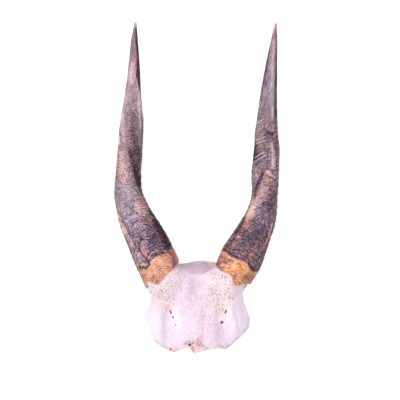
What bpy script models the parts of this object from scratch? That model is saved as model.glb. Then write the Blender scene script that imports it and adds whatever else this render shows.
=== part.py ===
# Bushbuck skull plate with its two horn sheaths, lying on its back.
# Metres, +Z up. +Y runs from the nasal edge to the horn tips, X from side to side.
import math

import bmesh
import bpy
import numpy as np
from mathutils import Vector

MM = 0.001

# Skull cap, in mm from the middle of the nasal edge. Rows are (y, x) and (x, y).
LEFT_EDGE = [(5, -34.2), (10, -40.8), (15, -43.8), (21, -46), (26, -47.8), (30, -50.4), (34, -52),
             (39, -50.7), (46, -47.9), (53, -46.6), (60, -45), (66, -41), (72, -37), (78, -34.5),
             (84, -31), (88, -27), (91, -18)]
RIGHT_EDGE = [(5, 34.5), (15, 43.8), (23, 49.9), (29, 52), (33, 52.4), (39, 50.5), (46, 47.2),
              (53, 45.8), (60, 44.5), (66, 41), (72, 37), (78, 34.5), (84, 31), (88, 27), (91, 18)]
NASAL_EDGE = [(-33, 3.8), (-26, -0.1), (-20.5, 0.2), (-18, 2.7), (-11.7, 4.4), (-7.7, 4), (-5.5, -0.2),
              (-2.5, -1), (1, 0.2), (9, 1.7), (21, 4.2), (28, 2.6), (34.5, 7.2)]
NASAL_ROW = 5.0
NASAL_FADE = 22.0
REAR_ROW = 91.0
REAR_ROUNDING = 0.006
MIDLINE = [(0, 65.5), (12, 63), (30, 58.5), (50, 52), (66, 47), (74, 44.5), (78, 41.5), (82, 31),
           (86.5, 15), (91, 2)]
CROWN_DROP = 9.5
CROWN_HALF_WIDTH = 50.0
CAP_COLUMNS = 29
FRONT_ROWS = 18
REAR_ROWS = 8
CREST = 70.0
CREST_LAG = 9.0
CREST_REACH = 18.0

# Rounded forms on the cap: x, y, spread in x, spread in y, height.
PEDICLE_RISES = [(-31, 70, 17, 20, 6), (31, 70, 17, 20, 6)]
PEDICLE_BLEND = 9.0
ORBIT_ROOFS = [(-40, 33, 11, 15, 3.2), (41, 33, 11, 15, 3.2)]
NASAL_SWELLS = [(-11, 14, 8, 13, 1.6), (13, 14, 8, 13, 1.6)]
BROW_GROOVES = [(-32, 34, 4, 12, -2.4), (-28, 17, 4, 10, -2.0), (21.5, 33, 4, 12, -2.2),
                (23.5, 16, 4, 10, -2.0)]
MEDIAN_GROOVE = [(5, 32, 3.5, 12, -1.4), (1, 60, 9, 10, -1.0)]

# Foramina: x, y, half width, half length, depth.
FORAMINA = [(-26.6, 40, 0.9, 2.6, 4.0), (-24.3, 35.4, 1.2, 1.3, 3.5), (28.2, 41, 1.0, 2.4, 4.0),
            (24.7, 30, 1.9, 1.9, 5.0), (-7.5, 8, 1.6, 1.3, 4.0)]

# The saw cut: a plane through the rear edge, tilted up towards the nose.
SAW_REAR = 90.0
SAW_ANGLE = math.radians(33.7)
SAW_ALLOWANCE = 7.0

# Hollows of the underside: centre, radii, segments round and down, unevenness.
BRAINCASE = [((0, 56, 3), (27, 28, 35.5), 20, 12, 0.025)]
ORBITS = [((-46, 30, 33), (20, 18, 15.5), 16, 10, 0.03), ((46.5, 30, 33), (20, 18, 15.5), 16, 10, 0.03)]
SINUSES = [((-14.5, 29, 39), (9.5, 8, 10), 14, 8, 0.13), ((13, 30, 38), (8.5, 9, 10), 12, 8, 0.13),
           ((-26, 49, 30), (5.5, 8.5, 9), 10, 6, 0.12), ((27.5, 45, 31), (6, 7.5, 9), 10, 6, 0.12)]
TEMPLES = [((-53, 74, 12), (17, 20, 24), 16, 10, 0), ((53, 74, 12), (17, 20, 24), 16, 10, 0)]
NASAL_ROOF = [((1, 0, 55.5), (18, 12, 5.4), 16, 8, 0.06), ((1.5, 10, 49.5), (19, 8.5, 7.5), 14, 8, 0.08)]

# Horn axis from the base to the tip, in mm: x, y, z, half width seen from the front, half depth.
LEFT_HORN = [(-30.7, 67, 37, 21.2, 21.6), (-41.3, 92, 33.5, 21.3, 22), (-52.9, 116, 27.3, 19.5, 20),
             (-64.3, 140, 20, 16.4, 17), (-69.5, 158, 16, 14.7, 15.2), (-69.4, 176, 14, 13, 14.2),
             (-68.1, 200, 14.6, 12.6, 13.2), (-66.5, 224, 18, 12.1, 11.8), (-64.9, 254, 25, 8.6, 9.2),
             (-63.4, 284, 34, 5.9, 6.4), (-62.7, 314, 43.5, 3.1, 3.4), (-61.7, 328, 48.2, 1.1, 1.2)]
RIGHT_HORN = [(28.9, 67, 37, 19.2, 21.6), (43, 92, 33.5, 21.6, 22), (54.9, 116, 27.3, 18, 19.6),
              (65, 140, 20, 14.7, 16.5), (67.6, 158, 16, 13.3, 15), (68, 176, 14, 13.7, 14.3),
              (69.3, 200, 14.6, 13.2, 13.4), (69.5, 224, 18, 11.2, 11.7), (71.1, 254, 25, 8.6, 9.2),
              (73.7, 284, 34, 6.1, 6.4), (76.7, 314, 43.5, 2.9, 3.2), (78.1, 327.3, 48, 1, 1.1)]

# Lower edge of each sheath: degrees from the inner side over the front, mm above the axis start.
LEFT_RIM = [(0, 17.5), (28, 14.2), (48, 11.1), (67, 9.5), (91, 5.7), (106, 2.3), (118, 3.6), (134, 8.6),
            (144, 11.9), (152, 6), (160, 1.6), (170, 4.4), (182, 9.4), (220, 11.5), (270, 13), (315, 15.9),
            (360, 17.5)]
RIGHT_RIM = [(0, 11.6), (17, 10.9), (52, 8.1), (72, 9.3), (82, 8.7), (95, 6.4), (110, 2.3), (123, 4.7),
             (148, 9.9), (180, 12.4), (220, 14.3), (270, 13), (315, 12.4), (360, 11.6)]

# The front keel winds once round the horn: share of the length, degrees.
KEEL_TURN = [(0, 112), (0.17, 135), (0.25, 148), (0.33, 174), (0.42, 222), (0.5, 270), (0.58, 320),
             (0.66, 375), (0.75, 418), (1, 430)]
# Ridges of the section, counted from the front keel: degrees, height as a share, spread in degrees.
RIDGES = [(0, 0.15, 14), (-100, 0.10, 20), (100, 0.07, 22), (-150, -0.09, 24), (40, -0.04, 18)]
BASE_STRENGTH = 0.4
FULL_STRENGTH_AT = 60.0
SOCKET_STRENGTH = 0.2
HORN_COLUMNS = [0, 9, 22, 40, 58, 76, 90, 100, 112, 130, 152, 174, 196, 210, 226, 244, 253, 260, 270,
                288, 312, 340]
RING_PITCH = 6.6
RING_HEIGHT = 0.28
RINGED_LENGTH = 150.0
RINGED_ROWS = 45
UPPER_ROWS = 18
RIM_ROWS = 12

# Socket of the sheath over the pedicle.
WALL = 1.6
GAP = 0.4
SOCKET_TOP = 34.0
CLEARANCE_TOP = 60.0
SOCKET_STEPS = [1.0, 0.66, 0.33, 0.0]
PEDICLE_FOOT = [(-18, 0.1), (-12, 0.5), (-7, 0.76), (-3, 0.91), (2, 1), (17, 1), (33.2, 0.97)]
PEDICLE_STEPS = [-18, -12, -7, -3, 2, 17, 33.2]


def through(keys, place):
    """Smooth curve through rows whose first value is the place."""
    keys = np.array(keys, dtype=float)
    places, values = keys[:, 0], keys[:, 1:]
    slopes = np.gradient(values, places, axis=0)
    place = np.clip(place, places[0], places[-1])
    i = np.clip(np.searchsorted(places, place, side="right") - 1, 0, len(places) - 2)
    span = places[i + 1] - places[i]
    u = (place - places[i]) / span
    bend = (values[i + 1] - values[i]) / span
    return values[i] + span * u * ((1 - u) ** 2 * slopes[i] + u * (3 - 2 * u) * bend
                                   - u * (1 - u) * slopes[i + 1])


def between(keys, place):
    """Straight runs between rows of (place, value)."""
    return float(np.interp(place, [row[0] for row in keys], [row[1] for row in keys]))


def new_object(name, mesh):
    item = bpy.data.objects.new(name, mesh)
    bpy.context.scene.collection.objects.link(item)
    return item


def finish_mesh(name, bm):
    """Turn every face outwards and make the object."""
    bmesh.ops.recalc_face_normals(bm, faces=bm.faces)
    mesh = bpy.data.meshes.new(name)
    bm.to_mesh(mesh)
    bm.free()
    return new_object(name, mesh)


def loft(name, rings, first_pole, last_pole):
    """Close a skin over rings of points, with a point at each end."""
    bm = bmesh.new()
    rows = [[bm.verts.new(Vector(p) * MM) for p in ring] for ring in rings]
    count = len(rings[0])
    for low, high in zip(rows, rows[1:]):
        for j in range(count):
            k = (j + 1) % count
            bm.faces.new((low[j], low[k], high[k], high[j]))
    for row, pole in ((rows[0], first_pole), (rows[-1], last_pole)):
        end = bm.verts.new(Vector(pole) * MM)
        for j in range(count):
            bm.faces.new((row[j], row[(j + 1) % count], end))
    return finish_mesh(name, bm)


def boolean(item, cutter, operation="DIFFERENCE"):
    """Apply an exact boolean and drop the cutter."""
    cutter.hide_render = True
    cutter.display_type = "WIRE"
    step = item.modifiers.new(operation.title(), "BOOLEAN")
    step.operation = operation
    step.solver = "EXACT"
    step.object = cutter
    depsgraph = bpy.context.evaluated_depsgraph_get()
    mesh = bpy.data.meshes.new_from_object(item.evaluated_get(depsgraph))
    item.modifiers.clear()
    item.data = mesh
    bpy.data.objects.remove(cutter)


def ellipsoid(name, centre, radii, segments, rings, lump=0.0):
    """Egg-shaped cutter, with uneven sides where a lump share is given."""
    bm = bmesh.new()
    bmesh.ops.create_uvsphere(bm, u_segments=segments, v_segments=rings, radius=1)
    for vert in bm.verts:
        turn = math.atan2(vert.co.y, vert.co.x)
        level = math.hypot(vert.co.x, vert.co.y)
        uneven = 1 + lump * level * (math.sin(2 * turn + centre[0]) + 0.7 * math.sin(3 * turn + centre[1]))
        vert.co = Vector([(c + r * v * uneven) * MM for c, r, v in zip(centre, radii, vert.co)])
    return finish_mesh(name, bm)


def paint(item, name, colour, roughness):
    material = bpy.data.materials.new(name)
    material.use_nodes = True
    shader = material.node_tree.nodes["Principled BSDF"]
    shader.inputs["Base Color"].default_value = (*colour, 1)
    shader.inputs["Roughness"].default_value = roughness
    shader.inputs["Metallic"].default_value = 0
    item.data.materials.clear()
    item.data.materials.append(material)
    item.data.shade_smooth()
    item.data.set_sharp_from_angle(angle=math.radians(38))


class Horn:
    """Axis, section and lower rim of one sheath."""

    def __init__(self, table, rim, side):
        rows = np.array(table, dtype=float)
        steps = np.linalg.norm(np.diff(rows[:, :3], axis=0), axis=1)
        self.keys = np.column_stack([np.concatenate([[0], np.cumsum(steps)]), rows])
        self.length = self.keys[-1, 0]
        self.rim = rim
        self.side = side

    def frame(self, t):
        """Centre, inward, frontward and upward directions, and half sizes."""
        row = through(self.keys, max(t, 0))
        ahead = through(self.keys, min(max(t, 0) + 1, self.length))
        behind = through(self.keys, max(max(t, 0) - 1, 0))
        up = Vector(ahead[:3] - behind[:3]).normalized()
        centre = Vector(row[:3]) + up * min(t, 0)
        across = up.cross(Vector((0, 0, 1))).normalized()
        front = across.cross(up)
        return centre, across * -self.side, front, up, row[3], row[4]

    def keel(self, t):
        return between(KEEL_TURN, max(t, 0) / self.length)

    def outline(self, keel, strength):
        """Section with its ridges, scaled to reach 1 on each side."""
        points = []
        for offset in HORN_COLUMNS:
            ridges = sum(height * bump(offset, place, spread) for place, height, spread in RIDGES)
            radius = 1 + strength * ridges
            angle = math.radians(keel + offset)
            points.append((radius * math.cos(angle), radius * math.sin(angle)))
        points = np.array(points)
        low, high = points.min(axis=0), points.max(axis=0)
        return (2 * points - low - high) / (high - low)

    def rim_height(self, t, column):
        angle = (self.keel(t) + HORN_COLUMNS[column]) % 360
        return between(self.rim, angle)

    def ring(self, t, grow=0.0, rim_share=0.0, taper=1.0, strength=None):
        """Section points at t, moved down the horn to follow its ragged rim."""
        points = []
        for column in range(len(HORN_COLUMNS)):
            place = t + rim_share * self.rim_height(t, column)
            ridge = BASE_STRENGTH + (1 - BASE_STRENGTH) * min(1, max(0, place) / FULL_STRENGTH_AT)
            u, v = self.outline(self.keel(place), ridge if strength is None else strength)[column]
            centre, inward, front, up, wide, deep = self.frame(place)
            points.append(centre + inward * u * (wide * taper + grow) + front * v * (deep * taper + grow))
        return points

    def rings_up(self, grow, top):
        """Outer rings from the rim up to the given height."""
        rings = []
        for i in range(RINGED_ROWS):
            t = RINGED_LENGTH * i / RINGED_ROWS
            rim_share = max(0, 1 - i / RIM_ROWS)
            relief = RING_HEIGHT * math.cos(2 * math.pi * t / RING_PITCH)
            relief *= (1 - rim_share) * min(1, (RINGED_LENGTH - t) / 40)
            if t < top:
                rings.append(self.ring(t, grow + relief, rim_share))
        for i in range(UPPER_ROWS):
            t = RINGED_LENGTH + (self.length - RINGED_LENGTH) * i / (UPPER_ROWS - 1)
            if t < top:
                rings.append(self.ring(t, grow))
        return rings

    def sheath(self, name):
        inner = []
        for share in SOCKET_STEPS:
            inner.append(self.ring(SOCKET_TOP * share, -WALL, 1 - share, strength=SOCKET_STRENGTH))
        outer = self.rings_up(0, self.length + 1)
        roof = self.frame(SOCKET_TOP)[0]
        centre, _, _, up, _, _ = self.frame(self.length)
        return loft(name, inner + outer, roof, centre + up)

    def pedicle(self, name):
        """Bone stub that fills the socket, with its foot buried in the cap."""
        rings = []
        for t in PEDICLE_STEPS:
            taper = between(PEDICLE_FOOT, t)
            rings.append(self.ring(t, -WALL - GAP, 0, taper, SOCKET_STRENGTH))
        return loft(name, rings, self.frame(PEDICLE_STEPS[0])[0], self.frame(PEDICLE_STEPS[-1])[0])

    def pedicle_height(self, x, y):
        """Height of the pedicle's front face over a place on the cap."""
        centre, inward, _, up, wide, deep = self.frame(0)
        away = Vector((x - centre.x, y - centre.y, 0))
        t = away.dot(Vector((up.x, up.y, 0)).normalized())
        across = away.dot(inward)
        taper = between(PEDICLE_FOOT, t)
        reach = 1 - (across / ((wide - WALL - GAP) * taper)) ** 2
        if reach <= 0:
            return -1000.0
        slope = up.z / math.hypot(up.x, up.y)
        return centre.z + t * slope + (deep - WALL - GAP) * taper * math.sqrt(reach)

    def clearance(self, name):
        rings = self.rings_up(RING_HEIGHT + GAP, CLEARANCE_TOP)
        rings.insert(0, self.ring(0, -WALL - GAP / 2, 1, strength=SOCKET_STRENGTH))
        up = self.frame(0)[3]
        for i in range(2):
            rings[i] = [point - up * GAP for point in rings[i]]
        return loft(name, rings, self.frame(SOCKET_TOP / 2)[0], self.frame(CLEARANCE_TOP)[0])


def bump(angle, place, spread):
    """Pointed ridge round an angle in degrees."""
    away = abs((angle - place + 180) % 360 - 180) / spread
    return math.exp(-away ** 1.4)


def soft_max(a, b, blend):
    near = max(blend - abs(a - b), 0) / blend
    return max(a, b) + near * near * blend / 4


def cap_height(x, y, horns):
    """Height of the cap's outer face, which swells into the pedicles."""
    z = float(through(MIDLINE, y - crest_lag(x, y))[0])
    z -= CROWN_DROP * (abs(x) / CROWN_HALF_WIDTH) ** 2.2
    for form in PEDICLE_RISES + ORBIT_ROOFS + NASAL_SWELLS + BROW_GROOVES + MEDIAN_GROOVE:
        across = (x - form[0]) / form[2]
        along = (y - form[1]) / form[3]
        z += form[4] * math.exp(-across ** 2 - along ** 2) * rear_fade(y)
    for horn in horns:
        z = soft_max(z, horn.pedicle_height(x, y), PEDICLE_BLEND)
    return z


def crest_lag(x, y):
    """How far the crest lies further back towards the pedicles than on the midline."""
    swell = CREST_LAG * min(1.0, (x / CREST_REACH) ** 2)
    return swell * min(1.0, max(0.0, (y - 52) / 30), max(0.0, (REAR_ROW - y) / 8))


def rear_fade(y):
    return min(1.0, max(0.0, (REAR_ROW - y) / (REAR_ROW - CREST)))


def saw_height(y):
    return (SAW_REAR - y) * math.tan(SAW_ANGLE)


def cap_point(row_y, share, horns):
    """Place on the cap's outer face from its row and its share of the width."""
    left = float(through(LEFT_EDGE, row_y)[0])
    right = float(through(RIGHT_EDGE, row_y)[0])
    x = left + (right - left) * share
    y = row_y - REAR_ROUNDING * x * x * max(0.0, (row_y - 60) / (REAR_ROW - 60))
    nasal = max(0.0, 1 - (row_y - NASAL_ROW) / NASAL_FADE)
    y += (between(NASAL_EDGE, x) - NASAL_ROW) * nasal
    return x, y, cap_height(x, y, horns)


def make_cap(name, horns):
    """Block under the cap's outer face, down past the saw cut."""
    rows = [NASAL_ROW + (CREST - NASAL_ROW) * i / FRONT_ROWS for i in range(FRONT_ROWS)]
    rows += [CREST + (REAR_ROW - CREST) * i / REAR_ROWS for i in range(REAR_ROWS + 1)]
    bm = bmesh.new()
    grid = []
    for row_y in rows:
        shares = [i / (CAP_COLUMNS - 1) for i in range(CAP_COLUMNS)]
        grid.append([bm.verts.new(Vector(cap_point(row_y, share, horns)) * MM) for share in shares])
    for low, high in zip(grid, grid[1:]):
        for j in range(CAP_COLUMNS - 1):
            bm.faces.new((low[j], low[j + 1], high[j + 1], high[j]))
    border = grid[0] + [row[-1] for row in grid[1:-1]] + grid[-1][::-1] + [row[0] for row in grid[-2:0:-1]]
    foot = []
    for vert in border:
        z = saw_height(vert.co.y / MM) - SAW_ALLOWANCE
        foot.append(bm.verts.new((vert.co.x, vert.co.y, z * MM)))
    for i in range(len(border)):
        k = (i + 1) % len(border)
        bm.faces.new((border[i], border[k], foot[k], foot[i]))
    bm.faces.new(foot)
    return finish_mesh(name, bm)


def saw_block():
    """Everything behind the saw cut."""
    bm = bmesh.new()
    bmesh.ops.create_cube(bm, size=1)
    for vert in bm.verts:
        x, y, z = vert.co
        along = y * 300
        down = (z - 0.5) * 100
        vert.co = Vector((x * 200 * MM,
                          (SAW_REAR - along * math.cos(SAW_ANGLE) + down * math.sin(SAW_ANGLE)) * MM,
                          (along * math.sin(SAW_ANGLE) + down * math.cos(SAW_ANGLE)) * MM))
    return finish_mesh("saw", bm)


def make_skull(horns):
    skull = make_cap("skull_plate", horns)
    for temple in TEMPLES:
        boolean(skull, ellipsoid("temple", *temple))
    for horn in horns:
        boolean(skull, horn.clearance("clearance"))
    for horn in horns:
        boolean(skull, horn.pedicle("pedicle"), "UNION")
    for hollow in BRAINCASE + ORBITS + SINUSES + NASAL_ROOF:
        boolean(skull, ellipsoid("hollow", *hollow))
    for x, y, wide, long, deep in FORAMINA:
        centre = (x, y, cap_height(x, y, horns))
        boolean(skull, ellipsoid("foramen", centre, (wide, long, deep), 8, 6))
    boolean(skull, saw_block())
    return skull


def stand_on_origin(items):
    """Bring the middle of the box's foot to the origin."""
    corners = [vert.co for item in items for vert in item.data.vertices]
    low = Vector([min(co[i] for co in corners) for i in range(3)])
    high = Vector([max(co[i] for co in corners) for i in range(3)])
    shift = Vector((-(low.x + high.x) / 2, -(low.y + high.y) / 2, -low.z))
    for item in items:
        for vert in item.data.vertices:
            vert.co += shift
    print("shift in mm", [round(v / MM, 3) for v in shift], "size", [round(v / MM, 2) for v in high - low])


def main():
    for item in list(bpy.data.objects):
        bpy.data.objects.remove(item)
    left = Horn(LEFT_HORN, LEFT_RIM, -1)
    right = Horn(RIGHT_HORN, RIGHT_RIM, 1)
    skull = make_skull((left, right))
    horn_left = left.sheath("horn_left")
    horn_right = right.sheath("horn_right")
    paint(skull, "bleached_bone", (0.86, 0.78, 0.84), 0.6)
    paint(horn_left, "horn_left_keratin", (0.14, 0.09, 0.10), 0.5)
    paint(horn_right, "horn_right_keratin", (0.14, 0.09, 0.10), 0.5)
    stand_on_origin((skull, horn_left, horn_right))


main()
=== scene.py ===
import math

import bmesh
import bpy
import numpy as np
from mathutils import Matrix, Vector


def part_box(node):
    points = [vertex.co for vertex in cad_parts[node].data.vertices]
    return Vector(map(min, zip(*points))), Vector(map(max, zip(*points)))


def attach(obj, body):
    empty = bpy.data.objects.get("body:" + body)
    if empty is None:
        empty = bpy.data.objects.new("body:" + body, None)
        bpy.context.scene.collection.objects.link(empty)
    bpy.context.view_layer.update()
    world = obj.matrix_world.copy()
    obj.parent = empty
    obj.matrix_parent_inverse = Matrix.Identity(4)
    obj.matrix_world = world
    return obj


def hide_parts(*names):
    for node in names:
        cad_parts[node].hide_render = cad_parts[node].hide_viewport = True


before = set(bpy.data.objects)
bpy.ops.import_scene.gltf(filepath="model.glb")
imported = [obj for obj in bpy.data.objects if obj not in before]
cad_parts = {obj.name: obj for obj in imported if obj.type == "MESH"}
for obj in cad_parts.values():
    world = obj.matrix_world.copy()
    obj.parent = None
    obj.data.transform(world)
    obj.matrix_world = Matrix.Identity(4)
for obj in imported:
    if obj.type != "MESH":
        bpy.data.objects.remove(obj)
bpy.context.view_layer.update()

mm = 0.001  # in metres
latticeSide = 61  # random values along each side of the block behind all bumps


def srgb(red, green, blue):
    parts = [value / 255 for value in (red, green, blue)]
    return tuple(p / 12.92 if p <= 0.04045 else ((p + 0.055) / 1.055) ** 2.4 for p in parts) + (1.0,)


# The drawing is in mm: x across, y from the nasal edge to the horn tips, z up from the table.
# Both horns follow the same rules, and their tables repeat the measures of the solid parts.
hornShape = {
    # share of the length, and the angle of the keel around the axis
    "keelTurn": [
        (0, 112), (0.17, 135), (0.25, 148), (0.33, 174), (0.42, 222), (0.5, 270), (0.58, 320),
        (0.66, 375), (0.75, 418), (1, 430),
    ],
    # angle from the keel, height and spread
    "ridges": [(0, 0.15, 14), (-100, 0.1, 20), (100, 0.07, 22), (-150, -0.09, 24), (40, -0.04, 18)],
    "baseStrength": 0.4,
    "fullStrengthAt": 60.0,
    "socketStrength": 0.2,
    # measured sections, points round the horn, and the rows of points over its lower and upper part
    "stations": 260,
    "columns": 208,
    "ringedLength": 150.0,
    "ringedRows": 250,
    "upperRows": 210,
    # the ragged rim bends the rows over this length, in mm like all that follows
    "rimRun": 40.0,
    "tipDome": [0.9, 0.72, 0.48, 0.22],
    "fullReliefWidth": 9.0,
    "orangeBehind": 26.0,
    "orangeDrop": 0.42,
    "wall": 1.6,
    "rimInset": 0.25,
    "socketTop": 34.0,
    "socketRows": 12,
    # relief
    "ringDepth": 0.26,
    "ringPitch": 3.1,
    "ringEvenness": 0.34,
    "swellPitch": 6.6,
    "swellHeight": 0.15,
    "lineHeight": 0.16,
    "crackDepth": 1.0,
    "baseLineDepth": 0.25,
    # how the rings bend at the keel and arch over the front
    "keelSpread": 26.0,
    "keelRise": 2.2,
    "archSpread": 55.0,
    # where zones begin and end along the horn; the front begins at a slope of its outward direction
    "archEnds": (75, 125),
    "tiltStarts": (110, 150),
    "lowerEnds": (105, 150),
    "upperFade": (225, 265),
    "frontFrom": (-0.2, 0.05),
    # the noise lies on a round bar, and the rim's nicks on a wider one
    "barRadius": 18.0,
    "rimRadius": 20.0,
    # sums of bumps: the weight, the size in mm and the draw of each
    "noise": {
        "nicks": [(0.45, 2.6, 0), (0.3, 1.1, 1)],
        "sway": [(1.8, (9, 9, 16), 8), (0.6, (2.6, 2.6, 4), 9)],
        "wobble": [(1.0, 5, 2), (0.6, 1.6, 3)],
        "driftX": [(1.5, 5, 12), (0.9, 1.8, 13)],
        "driftY": [(1.8, 5, 14), (0.9, 1.8, 15)],
        "tickSway": [(0.3, (4, 4, 3), 19)],
        "tickGaps": [(0.6, 3, 20)],
        "rings": [(0.9, (6, 6, 1), 4), (0.6, (2.4, 2.4, 0.95), 16)],
        "ringLines": [(0.8, (8, 8, 1.5), 17), (0.3, (2.4, 2.4, 1.2), 18)],
        "ringShift": [(0.55, (9, 9, 7), 24)],
        "baseLines": [(1.0, (10, 10, 2.4), 21), (0.25, (2.4, 2.4, 1.6), 22)],
        "baseLineGaps": [(1.0, 6, 23)],
        "fibres": [(0.1, (1.3, 1.3, 14), 5)],
        "broad": [(0.3, (9, 9, 12), 6)],
        "fine": [(0.16, (2.4, 2.4, 3.4), 7)],
    },
    # the thin band along the rim is sunk a little and painted paler as light that lifts the shade there
    "thinRimRun": 1.6,
    "thinRimDrop": 0.5,
    "rimPaintedLight": 0.16,
}
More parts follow.
